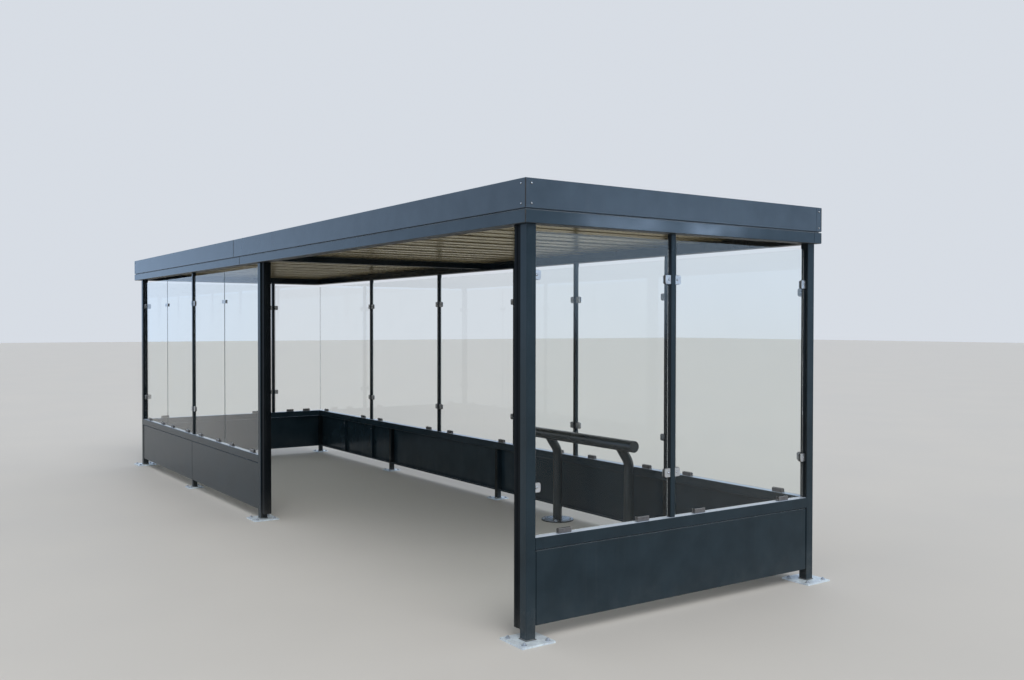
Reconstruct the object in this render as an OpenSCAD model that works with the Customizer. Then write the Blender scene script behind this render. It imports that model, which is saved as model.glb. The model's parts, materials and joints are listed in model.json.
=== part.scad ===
// Flat-roofed bus shelter: steel posts, low steel walls, clamped glass and a free-standing perch.
// Millimetres. The origin is on the ground under the middle of the plan.
// +X runs to the end with the open entrance, -Y is the open long side and +Z is up.

/* [Plan] */
// Distance between the end posts' centres along X
length_cc = 7800; // [7000:50:8600]
// Distance between the front and back posts' centres along Y
depth_cc = 2200; // [1900:20:2500]
// Place of the front's middle post, as a share of the length from the -X end
entrance_share = 0.50; // [0.45:0.01:0.55]
// Places of the back wall's glass posts, as shares of the length from the -X end
back_share_1 = 0.192; // [0.17:0.002:0.22]
back_share_2 = 0.395; // [0.36:0.002:0.41]
back_share_3 = 0.574; // [0.54:0.002:0.59]
back_share_4 = 0.690; // [0.67:0.002:0.71]
back_share_5 = 0.833; // [0.81:0.002:0.86]
// Places of the back wall's legs, as shares of the length from the -X end
leg_share_1 = 0.257; // [0.24:0.002:0.27]
leg_share_2 = 0.537; // [0.52:0.002:0.55]
leg_share_3 = 0.833; // [0.825:0.002:0.85]
// Place of the +X end's glass post, as a share of the depth from the front
right_share = 0.46; // [0.42:0.01:0.60]
// Place of the -X end's glass post, as a share of the depth from the front
left_share = 0.71; // [0.40:0.01:0.74]

/* [Heights] */
// Clear height under the roof's edge beams
beam_bottom = 2170; // [2050:10:2400]
// Height of the edge beams
beam_h = 70; // [60:2:100]
// Height of the fascia sheet above the edge beams
fascia_h = 160; // [130:5:220]
// Height of the low walls' top rails
rail_top = 540; // [450:10:700]
// Gap between the ground and the low walls
panel_bottom = 80; // [60:5:120]

/* [Frame] */
// Width of the square corner and entrance posts
post_w = 60; // [60:5:80]
// Wall of the post tubes
post_t = 4; // [3:0.5:6]
// Width of the square glass posts
mullion_w = 35; // [30:1:45]
// Wall of the glass posts, legs, rails and cross beams
tube_t = 3; // [2:0.5:4]
// How far the roof's edge stands out past the posts' outer faces
overhang = 30; // [15:5:60]
// How far the roof's -X edge stands out past the end posts' outer faces
end_overhang = 200; // [30:10:260]
// Wall of the edge beams
beam_t = 4; // [3:0.5:6]
// Width of the cross beams
cross_w = 60; // [50:5:80]
// Height of the low walls' top rails
rail_h = 65; // [50:5:80]

/* [Feet] */
// Side of the square base plates under the posts
plate_w = 210; // [200:5:260]
// Thickness of the base plates
plate_t = 10; // [8:1:16]
// Distance between bolt holes in a base plate
plate_pitch = 150; // [130:5:160]
// Diameter of the base plates' bolt holes
plate_hole = 14; // [12:1:18]
// Width of the short legs under the low walls
leg_w = 45; // [40:1:52]
// Side of the square plates under the short legs
leg_plate_w = 150; // [130:5:180]
// Distance between bolt holes in a leg's plate
leg_pitch = 106; // [90:2:116]

/* [Low walls and glass] */
// Sheet of the low walls and the fascia
sheet_t = 3; // [2:0.5:4]
// Gap between a low wall panel and a post
panel_gap = 8; // [4:1:14]
// Shadow gap under the top rails and between panels
shadow_gap = 4; // [3:0.5:8]
// Thickness of the glass
glass_t = 8; // [6:1:12]
// Gap between a pane's side edge and its post
glass_gap = 14; // [10:1:20]
// Gap between the panes' top edges and the edge beams
glass_top_gap = 35; // [25:5:60]
// Gap between two panes that meet in mid bay
joint_gap = 10; // [6:1:16]
// Distance from the glass corner's middle line to the panes that meet there
corner_stop = 8; // [7:1:12]

/* [Glass clamps] */
// Reach of a post clamp from the post's face
clamp_l = 42; // [38:1:50]
// Height of a post clamp
clamp_h = 50; // [44:2:60]
// Corner radius of a post clamp
clamp_r = 10; // [6:1:14]
// Thickness of the clamps through the glass
clamp_t = 26; // [22:1:34]
// Width of a clamp that joins two panes
joint_clamp_w = 100; // [80:5:120]
// Height of a clamp that joins two panes
joint_clamp_h = 32; // [26:2:44]
// Width of a shoe on the rail
shoe_w = 85; // [60:5:100]
// Height of a shoe above the rail
shoe_h = 26; // [22:1:34]
// Distance from a pane's side edge to the middle of its shoe
shoe_in = 190; // [120:10:220]
// Distance from the panes' top edge to the upper clamps
upper_in = 275; // [200:5:400]
// The same distance at the +X end
upper_in_right = 227; // [200:1:400]
// Distance from the panes' bottom edge to the lower clamps
lower_in = 250; // [200:5:400]

/* [Perch] */
// Place of the perch's middle, as a share of the length from the -X end
perch_share = 0.741; // [0.62:0.01:0.75]
// Length of the perch's tube
perch_len = 1270; // [1100:10:1400]
// Outer diameter of the perch's tube
perch_d = 88; // [76:2:102]
// Height of the tube's top above the ground
perch_top = 780; // [680:5:800]
// Distance between the two legs
perch_legs = 910; // [800:10:1000]
// Outer diameter of the legs
perch_leg_d = 76; // [60:2:84]
// Distance from the back posts' centre line to the legs
perch_back = 150; // [146:1:200]
// How far the tube leans forward of the legs
perch_lean = 100; // [80:5:130]
// Diameter of the round feet
perch_foot_d = 270; // [240:5:280]

/* [Hidden] */
eps = 1;
half_d = depth_cc / 2;
post_r = post_w / 2;
mull_r = mullion_w / 2;
edge = 3;
reach_right = max(plate_w / 2, post_r + overhang);
reach_left = max(plate_w / 2, post_r + end_overhang);
right_x = (length_cc + reach_left - reach_right) / 2;
left_x = right_x - length_cc;
entrance_x = left_x + entrance_share * length_cc;
front_leg_x = (entrance_x + left_x) / 2;
back_leg_x = [for (s = [leg_share_1, leg_share_2, leg_share_3]) left_x + s * length_cc];
back_x = [for (s = [back_share_1, back_share_2, back_share_3, back_share_4, back_share_5])
    left_x + s * length_cc];
right_y = -half_d + right_share * depth_cc;
left_y = -half_d + left_share * depth_cc;
beam_w = post_w + overhang;
beam_top = beam_bottom + beam_h;
roof_l = (length_cc + overhang + end_overhang) / 2 + post_r;
roof_x = (left_x + right_x + overhang - end_overhang) / 2;
roof_d = half_d + post_r + overhang;
fascia_top = beam_top + fascia_h;
fascia_in = 45;
fascia_lip = 18;
seam_h = 6;
seam_in = 12;
fascia_fold = 2;
fascia_joint = 560;
beam_joint = 400;
fascia_lap = 50;
beam_lap = 68;
roof_joint = 2;
mitre_gap = 0.5;
cross_gap = 18;
cross_h = beam_h - cross_gap;
deck_gap = 3;
deck_t = 40;
groove_pitch = 112.5;
groove_w = 6;
groove_d = 2;
seam_groove_w = 14;
seam_groove_d = 6;
deck_pitch = 333;
crown_base = 70;
crown_top = 34;
crown_h = 32;
rail_w = post_w;
rail_bottom = rail_top - rail_h;
panel_top = rail_bottom - shadow_gap;
skin_out = leg_w / 2 + sheet_t;
skin_in = skin_out - sheet_t;
lip_top = 20;
lip_bottom = 40;
lip_up = 14;
fold = 3;
rib_w = 36;
rib_d = 30;
leg_clear = 1.5;
leg_plate_t = 8;
leg_hole = 12;
shoe_floor = 8;
glass_bottom = rail_top + shoe_floor;
glass_top = beam_bottom - glass_top_gap;
channel_w = 40;
channel_t = 3;
channel_bottom = 55;
foot_t = 10;
foot_bolts = 220;
foot_hole = 14;
perch_t = 4;
perch_edge = 3;
perch_x = left_x + perch_share * length_cc;
$fn = 64;

// Each glazed wall's uprights, as [place along the wall, half width, true];
// the corner of glass has no upright, and its entry is [place, distance to the panes, false]
right_ups = [[-half_d, post_r, true], [right_y, mull_r, true], [half_d, post_r, true]];
left_ups = [[-half_d, post_r, true], [left_y, mull_r, true], [half_d, corner_stop, false]];
front_ups = [[left_x, post_r, true], [front_leg_x, mull_r, true], [entrance_x, post_r, true]];
back_ups = concat([[left_x, corner_stop, false]], [for (x = back_x) [x, mull_r, true]],
    [[right_x, post_r, true]]);
clamp_z = [glass_bottom + lower_in, glass_top - upper_in];
clamp_z_right = [glass_bottom + lower_in, glass_top - upper_in_right];

// Wall frames: local X runs along the wall, local -Y points out of the shelter
module at_front() translate([0, -half_d, 0]) children();
module at_back() mirror([0, 1, 0]) translate([0, -half_d, 0]) children();
module at_right() translate([right_x, 0, 0]) rotate([0, 0, 90]) children();
module at_left() translate([left_x, 0, 0]) mirror([1, 0, 0]) rotate([0, 0, 90]) children();
module at_roof() translate([roof_x, 0, 0]) children();

// Square outline with small flats on its corners
module square_tube_outline(w, d, flat) {
    a = w / 2;
    b = d / 2;
    polygon([[-a + flat, -b], [a - flat, -b], [a, -b + flat], [a, b - flat],
        [a - flat, b], [-a + flat, b], [-a, b - flat], [-a, -b + flat]]);
}

module upright_tube(w, wall, z0, z1) {
    translate([0, 0, z0])
        linear_extrude(height = z1 - z0)
            difference() {
                square_tube_outline(w, w, edge);
                square_tube_outline(w - 2 * wall, w - 2 * wall, edge / 3);
            }
}

// Tube lying along local X from a to b, its section w deep and h high
module lying_tube(a, b, w, h, wall, z0) {
    translate([a, 0, z0 + h / 2])
        rotate([90, 0, 90])
            linear_extrude(height = b - a)
                difference() {
                    square_tube_outline(w, h, edge);
                    square_tube_outline(w - 2 * wall, h - 2 * wall, edge / 3);
                }
}

module post() {
    upright_tube(post_w, post_t, plate_t, beam_bottom);
}

module mullion() {
    upright_tube(mullion_w, tube_t, rail_top, beam_bottom);
}

module drilled_plate(w, t, pitch, hole) {
    difference() {
        translate([-w / 2, -w / 2, 0]) cube([w, w, t]);
        for (x = [-pitch / 2, pitch / 2], y = [-pitch / 2, pitch / 2])
            translate([x, y, -eps]) cylinder(h = t + 2 * eps, d = hole);
    }
}

// Keeps what lies between the two 45 degree mitres of a roof side
module mitred(half_run, half_gap) {
    reach = 120;
    intersection() {
        children();
        linear_extrude(height = fascia_top + eps)
            polygon([[-half_run, -half_gap], [half_run, -half_gap],
                [half_run - reach, -half_gap + reach], [-half_run + reach, -half_gap + reach]]);
    }
}

module beam_side(half_run, half_gap) {
    mitred(half_run, half_gap)
        translate([0, -half_gap + beam_w / 2, 0])
            lying_tube(-half_run, half_run, beam_w, beam_h, beam_t, beam_bottom);
}

// Folded fascia: outer sheet, top return with a drip, and a foot set back to leave the seam
module fascia_side(half_run, half_gap) {
    mitred(half_run, half_gap)
        translate([-half_run, -half_gap, beam_top])
            rotate([90, 0, 90])
                linear_extrude(height = 2 * half_run)
                    polygon([[0, seam_h + fascia_fold], [0, fascia_h - fascia_fold],
                        [fascia_fold, fascia_h], [fascia_in, fascia_h],
                        [fascia_in, fascia_h - fascia_lip],
                        [fascia_in - sheet_t, fascia_h - fascia_lip],
                        [fascia_in - sheet_t, fascia_h - sheet_t],
                        [sheet_t, fascia_h - sheet_t], [sheet_t, seam_h + sheet_t],
                        [fascia_in, seam_h + sheet_t], [fascia_in, 0],
                        [seam_in, 0], [seam_in, seam_h], [fascia_fold, seam_h]]);
}

// Cuts a roof side in two at local x
module butt_joint(x, half_gap) {
    difference() {
        children();
        translate([x - roof_joint / 2, -half_gap - eps, 0])
            cube([roof_joint, beam_w + 2 * eps, fascia_top + eps]);
    }
}

// Mitres a low wall's piece where the two closed walls meet, at local x; side is 1 or -1
module corner_mitre(x, side) {
    r = post_w;
    difference() {
        children();
        translate([x, 0, 0])
            linear_extrude(height = rail_top + eps)
                polygon([[side * (r - mitre_gap), -r], [side * 2 * r, -r],
                    [side * 2 * r, r], [side * (-r - mitre_gap), r]]);
    }
}

// Low wall sheet with folded top and bottom, notched round the legs behind it
module low_panel(a, b, legs) {
    difference() {
        translate([a, 0, 0])
            rotate([90, 0, 90])
                linear_extrude(height = b - a)
                    polygon([[-skin_out, panel_bottom + fold], [-skin_out, panel_top - fold],
                        [-skin_out + fold, panel_top], [-skin_out + lip_top, panel_top],
                        [-skin_out + lip_top, panel_top - sheet_t],
                        [-skin_in, panel_top - sheet_t], [-skin_in, panel_bottom + sheet_t],
                        [-skin_out + lip_bottom - sheet_t, panel_bottom + sheet_t],
                        [-skin_out + lip_bottom - sheet_t, panel_bottom + lip_up],
                        [-skin_out + lip_bottom, panel_bottom + lip_up],
                        [-skin_out + lip_bottom, panel_bottom],
                        [-skin_out + fold, panel_bottom]]);
        for (x = legs)
            translate([x - leg_w / 2 - leg_clear, -skin_in, panel_bottom - eps])
                cube([leg_w + 2 * leg_clear, leg_w + 2 * leg_clear, rail_bottom - panel_bottom]);
    }
}

// Stiffener behind a panel: under its top lip, with a tongue behind the lip up to the rail
module rib(x) {
    translate([x - rib_w / 2, 0, 0])
        rotate([90, 0, 90])
            linear_extrude(height = rib_w)
                polygon([[-skin_in, panel_bottom + sheet_t], [-skin_in + rib_d, panel_bottom + sheet_t],
                    [-skin_in + rib_d, rail_bottom], [-skin_out + lip_top, rail_bottom],
                    [-skin_out + lip_top, panel_top - sheet_t], [-skin_in, panel_top - sheet_t]]);
}

module leg(x) {
    translate([x, 0, 0]) upright_tube(leg_w, tube_t, leg_plate_t, rail_bottom);
}

// Start and end of every pane between the uprights; split bays hold two panes
function stop(up) = up[1] + (up[2] ? glass_gap : 0);
function panes(ups, split) = [for (i = [0 : len(ups) - 2])
    let (a = ups[i][0] + stop(ups[i]), b = ups[i + 1][0] - stop(ups[i + 1]), m = (a + b) / 2)
    each (split ? [[a, m - joint_gap / 2], [m + joint_gap / 2, b]] : [[a, b]])];

module pane_row(spans) {
    for (p = spans)
        translate([p[0], -glass_t / 2, glass_bottom])
            cube([p[1] - p[0], glass_t, glass_top - glass_bottom]);
}

// Clamp on an upright's face at local x = 0: a block, then two jaws past the glass edge
module post_clamp() {
    r = clamp_h / 2;
    difference() {
        rotate([90, 0, 0])
            linear_extrude(height = clamp_t, center = true)
                union() {
                    translate([0, -r]) square([clamp_l - clamp_r, clamp_h]);
                    translate([0, clamp_r - r]) square([clamp_l, clamp_h - 2 * clamp_r]);
                    for (z = [clamp_r - r, r - clamp_r])
                        translate([clamp_l - clamp_r, z]) circle(r = clamp_r);
                }
        translate([glass_gap, -glass_t / 2, -r - eps])
            cube([clamp_l, glass_t, clamp_h + 2 * eps]);
    }
}

module clamp_row(ups, heights) {
    last = len(ups) - 1;
    for (i = [0 : last], z = heights)
        if (ups[i][2])
            translate([ups[i][0], 0, z]) {
                if (i < last) translate([ups[i][1], 0, 0]) post_clamp();
                if (i > 0) mirror([1, 0, 0]) translate([ups[i][1], 0, 0]) post_clamp();
            }
}

// Clamp between two panes at local x = 0: a web in the joint and jaws on both panes
module joint_clamp() {
    difference() {
        cube([joint_clamp_w, clamp_t, joint_clamp_h], center = true);
        for (side = [-1, 1])
            translate([side * (joint_clamp_w / 2 + joint_gap / 2), 0, 0])
                cube([joint_clamp_w, glass_t, joint_clamp_h + 2 * eps], center = true);
    }
}

module joint_clamps(ups) {
    for (i = [0 : len(ups) - 2])
        translate([(ups[i][0] + ups[i][1] + ups[i + 1][0] - ups[i + 1][1]) / 2, 0, clamp_z[1]])
            joint_clamp();
}

// Shoe on the rail: a grooved block under the pane's bottom edge
module shoe(x) {
    translate([x - shoe_w / 2, 0, rail_top])
        difference() {
            translate([0, -clamp_t / 2, 0]) cube([shoe_w, clamp_t, shoe_h]);
            translate([-eps, -glass_t / 2, shoe_floor]) cube([shoe_w + 2 * eps, glass_t, shoe_h]);
        }
}

module shoe_row(spans) {
    for (p = spans) {
        shoe(p[0] + shoe_in);
        shoe(p[1] - shoe_in);
    }
}

// Open channel on an entrance post, its back on the post and its mouth to the entrance
module entrance_channel() {
    translate([0, 0, channel_bottom])
        linear_extrude(height = beam_bottom - channel_bottom)
            difference() {
                translate([0, -channel_w / 2]) square([channel_w, channel_w]);
                translate([channel_t, -channel_w / 2 + channel_t])
                    square([channel_w, channel_w - 2 * channel_t]);
            }
}

// Underside of the deck from -X to +X: every fourth groove is a seam between two boards
function ceiling(hx) = [for (i = [0 : floor(2 * hx / groove_pitch) - 1])
    let (x = -hx + (i + 0.5) * groove_pitch, seam = i % 4 == 2,
        w = seam ? seam_groove_w : groove_w, d = seam ? seam_groove_d : groove_d)
    each [[x - w / 2, 0], [x - w / 4, d], [x + w / 4, d], [x + w / 2, 0]]];

module roof_deck() {
    hx = roof_l - fascia_in - deck_gap;
    hy = roof_d - fascia_in - deck_gap;
    crowns = floor((2 * hx - crown_base) / deck_pitch);
    color([0.62, 0.60, 0.52])
    at_roof() union() {
        translate([0, hy, beam_top])
            rotate([90, 0, 0])
                linear_extrude(height = 2 * hy)
                    polygon(concat([[-hx, deck_t], [-hx, 0]], ceiling(hx), [[hx, 0], [hx, deck_t]]));
        for (i = [0 : crowns])
            translate([(i - crowns / 2) * deck_pitch, hy, beam_top + deck_t])
                rotate([90, 0, 0])
                    linear_extrude(height = 2 * hy)
                        polygon([[-crown_base / 2, -eps], [crown_base / 2, -eps], [crown_base / 2, 0],
                            [crown_top / 2, crown_h], [-crown_top / 2, crown_h], [-crown_base / 2, 0]]);
    }
}

module fascia_front() {
    color([0.22, 0.26, 0.30])
    at_roof() butt_joint(entrance_x - fascia_joint - roof_x, roof_d) fascia_side(roof_l, roof_d);
}

module fascia_back() color([0.22, 0.26, 0.30]) at_roof() rotate([0, 0, 180]) fascia_side(roof_l, roof_d);

module fascia_right() {
    color([0.22, 0.26, 0.30])
    at_roof() rotate([0, 0, 90]) butt_joint(roof_d - fascia_lap, roof_l) fascia_side(roof_d, roof_l);
}

module fascia_left() color([0.22, 0.26, 0.30]) at_roof() rotate([0, 0, -90]) fascia_side(roof_d, roof_l);

module edge_beam_front() {
    color([0.18, 0.22, 0.26])
    at_roof() butt_joint(entrance_x - beam_joint - roof_x, roof_d) beam_side(roof_l, roof_d);
}

module edge_beam_back() color([0.18, 0.22, 0.26]) at_roof() rotate([0, 0, 180]) beam_side(roof_l, roof_d);

module edge_beam_right() {
    color([0.18, 0.22, 0.26])
    at_roof() rotate([0, 0, 90]) butt_joint(roof_d - beam_lap, roof_l) beam_side(roof_d, roof_l);
}

module edge_beam_left() color([0.18, 0.22, 0.26]) at_roof() rotate([0, 0, -90]) beam_side(roof_d, roof_l);

module cross_beam(h) {
    rotate([0, 0, 90])
        lying_tube(-roof_d + beam_w, roof_d - beam_w, cross_w, h, tube_t, beam_top - h);
}

// The one at the -X end carries that end's glass post
module cross_beams() {
    color([0.14, 0.17, 0.20]) {
        translate([entrance_x, 0, 0]) cross_beam(cross_h);
        translate([left_x, 0, 0]) cross_beam(beam_h);
    }
}

module post_front_right() color([0.16, 0.20, 0.24]) translate([right_x, -half_d, 0]) post();
module post_front_middle() color([0.16, 0.20, 0.24]) translate([entrance_x, -half_d, 0]) post();
module post_front_left() color([0.16, 0.20, 0.24]) translate([left_x, -half_d, 0]) post();
module post_back_right() color([0.16, 0.20, 0.24]) translate([right_x, half_d, 0]) post();

module base_plates() {
    color([0.70, 0.74, 0.78])
    for (p = [[right_x, -half_d], [entrance_x, -half_d], [left_x, -half_d], [right_x, half_d]])
        translate([p[0], p[1], 0]) drilled_plate(plate_w, plate_t, plate_pitch, plate_hole);
}

module wall_legs() {
    color([0.16, 0.20, 0.24])
    union() {
        at_front() leg(front_leg_x);
        at_back() for (x = back_leg_x) leg(x);
        at_back() leg(left_x);
    }
}

module leg_plates() {
    color([0.70, 0.74, 0.78])
    for (p = concat([[front_leg_x, -half_d], [left_x, half_d]], [for (x = back_leg_x) [x, half_d]]))
        translate([p[0], p[1], 0]) drilled_plate(leg_plate_w, leg_plate_t, leg_pitch, leg_hole);
}

module mullion_right() color([0.16, 0.20, 0.24]) at_right() translate([right_y, 0, 0]) mullion();
module mullion_left() color([0.16, 0.20, 0.24]) at_left() translate([left_y, 0, 0]) mullion();
module mullion_front() color([0.16, 0.20, 0.24]) at_front() translate([front_leg_x, 0, 0]) mullion();

module mullions_back() {
    color([0.16, 0.20, 0.24])
    at_back() for (x = back_x) translate([x, 0, 0]) mullion();
}

module rail(a, b) {
    lying_tube(a, b, rail_w, rail_h, tube_t, rail_bottom);
}

module rail_right() color([0.20, 0.24, 0.28]) at_right() rail(-half_d + post_r, half_d - post_r);
module rail_left() {
    color([0.20, 0.24, 0.28])
    at_left() corner_mitre(half_d, 1) rail(-half_d + post_r, half_d + rail_w / 2);
}

module rail_front() color([0.20, 0.24, 0.28]) at_front() rail(left_x + post_r, entrance_x - post_r);

module rail_back() {
    color([0.20, 0.24, 0.28])
    at_back() corner_mitre(left_x, -1) rail(left_x - rail_w / 2, right_x - post_r);
}

module panel_right() {
    color([0.18, 0.23, 0.27])
    at_right() low_panel(-half_d + post_r + panel_gap, half_d - post_r - panel_gap, []);
}

module panel_left() {
    color([0.18, 0.23, 0.27])
    at_left()
        corner_mitre(half_d, 1)
            low_panel(-half_d + post_r + panel_gap, half_d + skin_out, [half_d]);
}

module panels_front() {
    color([0.18, 0.23, 0.27])
    at_front() {
        low_panel(left_x + post_r + panel_gap, front_leg_x - shadow_gap / 2, [front_leg_x]);
        low_panel(front_leg_x + shadow_gap / 2, entrance_x - post_r - panel_gap, [front_leg_x]);
    }
}

module panels_back() {
    ends = concat([left_x - skin_out - shadow_gap / 2], back_leg_x,
        [right_x - post_r - panel_gap + shadow_gap / 2]);
    legs = concat([left_x], back_leg_x);
    color([0.18, 0.23, 0.27])
    at_back()
        corner_mitre(left_x, -1)
            for (i = [0 : len(ends) - 2])
                low_panel(ends[i] + shadow_gap / 2, ends[i + 1] - shadow_gap / 2, legs);
}

// The end walls' ribs stand against the posts; a leg does that work at the glass corner
module panel_ribs() {
    end_rib = half_d - post_r - rib_w / 2;
    color([0.13, 0.16, 0.19])
    union() {
        at_right() for (y = [-end_rib, end_rib]) rib(y);
        at_left() rib(-end_rib);
        at_front() for (k = [0.25, 0.75, 1.25, 1.75])
            rib(left_x + k * (front_leg_x - left_x));
        at_back() for (x = [(left_x + back_x[0]) / 2, back_x[0]]) rib(x);
    }
}

module glass_right() color([0.75, 0.85, 0.85, 0.35]) at_right() pane_row(panes(right_ups, false));
module glass_left() color([0.75, 0.85, 0.85, 0.35]) at_left() pane_row(panes(left_ups, false));
module glass_front() color([0.75, 0.85, 0.85, 0.35]) at_front() pane_row(panes(front_ups, true));
module glass_back() color([0.75, 0.85, 0.85, 0.35]) at_back() pane_row(panes(back_ups, false));

module clamps_right() color([0.45, 0.46, 0.47]) at_right() clamp_row(right_ups, clamp_z_right);
module clamps_left() color([0.45, 0.46, 0.47]) at_left() clamp_row(left_ups, clamp_z);
module clamps_front() {
    color([0.45, 0.46, 0.47])
    at_front() {
        clamp_row(front_ups, clamp_z);
        joint_clamps(front_ups);
    }
}

module clamps_back() color([0.45, 0.46, 0.47]) at_back() clamp_row(back_ups, clamp_z);

module rail_shoes() {
    color([0.40, 0.41, 0.42])
    union() {
        at_right() shoe_row(panes(right_ups, false));
        at_left() shoe_row(panes(left_ups, false));
        at_front() shoe_row(panes(front_ups, true));
        at_back() shoe_row(panes(back_ups, false));
    }
}

module entrance_channels() {
    color([0.12, 0.15, 0.18])
    at_front() {
        translate([entrance_x + post_r, 0, 0]) entrance_channel();
        translate([right_x - post_r, 0, 0]) mirror([1, 0, 0]) entrance_channel();
    }
}

// The leg goes straight up, bends forward and meets the tube's axis
perch_z = perch_top - perch_d / 2;
leg_y = half_d - perch_back;
tube_y = leg_y - perch_lean;
lean_a = 35;
bend_z = perch_z - perch_lean / tan(lean_a);

module perch_leg() {
    difference() {
        union() {
            translate([0, leg_y, foot_t]) cylinder(h = bend_z - foot_t, d = perch_leg_d);
            translate([0, leg_y, bend_z]) {
                sphere(d = perch_leg_d);
                rotate([lean_a, 0, 0]) cylinder(h = perch_lean / sin(lean_a), d = perch_leg_d);
            }
        }
        translate([-perch_leg_d, tube_y, perch_z])
            rotate([0, 90, 0]) cylinder(h = 2 * perch_leg_d, d = perch_d);
    }
}

module perch_tube() {
    color([0.15, 0.18, 0.21])
    translate([perch_x - perch_len / 2, tube_y, perch_z])
        rotate([0, 90, 0])
            difference() {
                union() {
                    cylinder(h = perch_edge, d1 = perch_d - 2 * perch_edge, d2 = perch_d);
                    translate([0, 0, perch_edge])
                        cylinder(h = perch_len - 2 * perch_edge, d = perch_d);
                    translate([0, 0, perch_len - perch_edge])
                        cylinder(h = perch_edge, d1 = perch_d, d2 = perch_d - 2 * perch_edge);
                }
                translate([0, 0, perch_t]) cylinder(h = perch_len - 2 * perch_t,
                    d = perch_d - 2 * perch_t);
            }
}

module perch_leg_pair() {
    color([0.15, 0.18, 0.21])
    for (x = [-perch_legs / 2, perch_legs / 2]) translate([perch_x + x, 0, 0]) perch_leg();
}

module perch_feet() {
    color([0.22, 0.26, 0.29])
    for (x = [-perch_legs / 2, perch_legs / 2])
        translate([perch_x + x, leg_y, 0])
            difference() {
                cylinder(h = foot_t, d = perch_foot_d);
                for (a = [45 : 90 : 315])
                    rotate([0, 0, a]) translate([foot_bolts / 2, 0, -eps])
                        cylinder(h = foot_t + 2 * eps, d = foot_hole);
            }
}

roof_deck();
fascia_front();
fascia_back();
fascia_right();
fascia_left();
edge_beam_front();
edge_beam_back();
edge_beam_right();
edge_beam_left();
cross_beams();
post_front_right();
post_front_middle();
post_front_left();
post_back_right();
base_plates();
wall_legs();
leg_plates();
mullion_right();
mullion_left();
mullion_front();
mullions_back();
rail_right();
rail_left();
rail_front();
rail_back();
panel_right();
panel_left();
panels_front();
panels_back();
panel_ribs();
glass_right();
glass_left();
glass_front();
glass_back();
clamps_right();
clamps_left();
clamps_front();
clamps_back();
rail_shoes();
entrance_channels();
perch_tube();
perch_leg_pair();
perch_feet();
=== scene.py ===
"""Finishes, fastenings, seals, perch, floor, light and camera for the bus shelter."""

import json
import logging
import math
from collections.abc import Callable, Iterator, Mapping, Sequence
from contextlib import contextmanager
from dataclasses import dataclass
from enum import Enum
from functools import cached_property

import bmesh
import bpy
from mathutils import Matrix, Vector


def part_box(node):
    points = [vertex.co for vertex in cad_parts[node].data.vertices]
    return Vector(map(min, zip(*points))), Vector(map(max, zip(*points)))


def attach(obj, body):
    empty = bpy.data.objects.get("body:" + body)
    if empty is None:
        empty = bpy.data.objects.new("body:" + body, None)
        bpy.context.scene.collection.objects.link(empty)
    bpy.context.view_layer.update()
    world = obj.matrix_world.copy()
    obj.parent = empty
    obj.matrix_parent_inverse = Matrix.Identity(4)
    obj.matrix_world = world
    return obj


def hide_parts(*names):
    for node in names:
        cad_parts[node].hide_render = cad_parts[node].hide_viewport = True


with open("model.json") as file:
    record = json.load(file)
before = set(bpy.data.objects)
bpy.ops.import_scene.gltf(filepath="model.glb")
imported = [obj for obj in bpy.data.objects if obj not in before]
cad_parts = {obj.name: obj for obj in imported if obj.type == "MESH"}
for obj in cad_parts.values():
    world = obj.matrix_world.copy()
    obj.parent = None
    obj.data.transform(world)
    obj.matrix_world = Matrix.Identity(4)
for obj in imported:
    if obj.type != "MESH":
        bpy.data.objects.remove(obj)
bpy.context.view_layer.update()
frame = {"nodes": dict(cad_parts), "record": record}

LOG = logging.getLogger("bus_shelter")
MM = 0.001
BODY = "root"
ORIGIN = Vector((0.0, 0.0, 0.0))
UP = Vector((0.0, 0.0, 1.0))
BLACK = (0.0, 0.0, 0.0)

Triple = tuple[float, float, float]
Colour = Triple
Object = bpy.types.Object
Socket = bpy.types.NodeSocket
Test = Callable[[Vector, Vector], bool]


class Facing(Enum):
    """The axis that a glazed wall faces along, by its number."""

    ALONG_X = 0
    ALONG_Y = 1


class Wall(Enum):
    """A glazed wall of the shelter, by the ending of its nodes' names."""

    RIGHT = "right"
    LEFT = "left"
    FRONT = "front"
    BACK = "back"

    @property
    def facing(self) -> Facing:
        """The direction that the wall's panes face."""
        return Facing.ALONG_X if self in (Wall.RIGHT, Wall.LEFT) else Facing.ALONG_Y


# Places read from the CAD frame


@dataclass(frozen=True)
class Block:
    """The box round one solid of a CAD node, in metres."""

    low: Vector
    high: Vector

    @property
    def centre(self) -> Vector:
        """The middle of the box."""
        return (self.low + self.high) / 2

    @property
    def size(self) -> Vector:
        """The box's three sides."""
        return self.high - self.low

    @property
    def top(self) -> Vector:
        """The middle of its upper side."""
        return Vector((*self.centre.xy, self.high.z))


def solids_of(node: str) -> list[Block]:
    """Finds the separate solids of a CAD node.

    Args:
        node: The CAD node's name.

    Returns:
        One block for each solid, ordered by place.
    """
    mesh = frame["nodes"][node].data
    key_of = [tuple(round(c, 5) for c in v.co) for v in mesh.vertices]
    parent = {key: key for key in key_of}

    def root(key: tuple[float, ...]) -> tuple[float, ...]:
        """Follows a corner to the one that stands for its solid.

        Args:
            key: The corner.

        Returns:
            The corner that stands for the solid.
        """
        while parent[key] != key:
            parent[key] = parent[parent[key]]
            key = parent[key]
        return key

    for face in mesh.polygons:
        first, *others = [root(key_of[i]) for i in face.vertices]
        for other in others:
            parent[root(other)] = root(first)
    groups: dict[tuple[float, ...], list[tuple[float, ...]]] = {}
    for key in parent:
        groups.setdefault(root(key), []).append(key)
    blocks = [Block(Vector(map(min, *g)), Vector(map(max, *g))) for g in groups.values()]
    return sorted(blocks, key=lambda b: tuple(round(c, 4) for c in b.centre))


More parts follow.
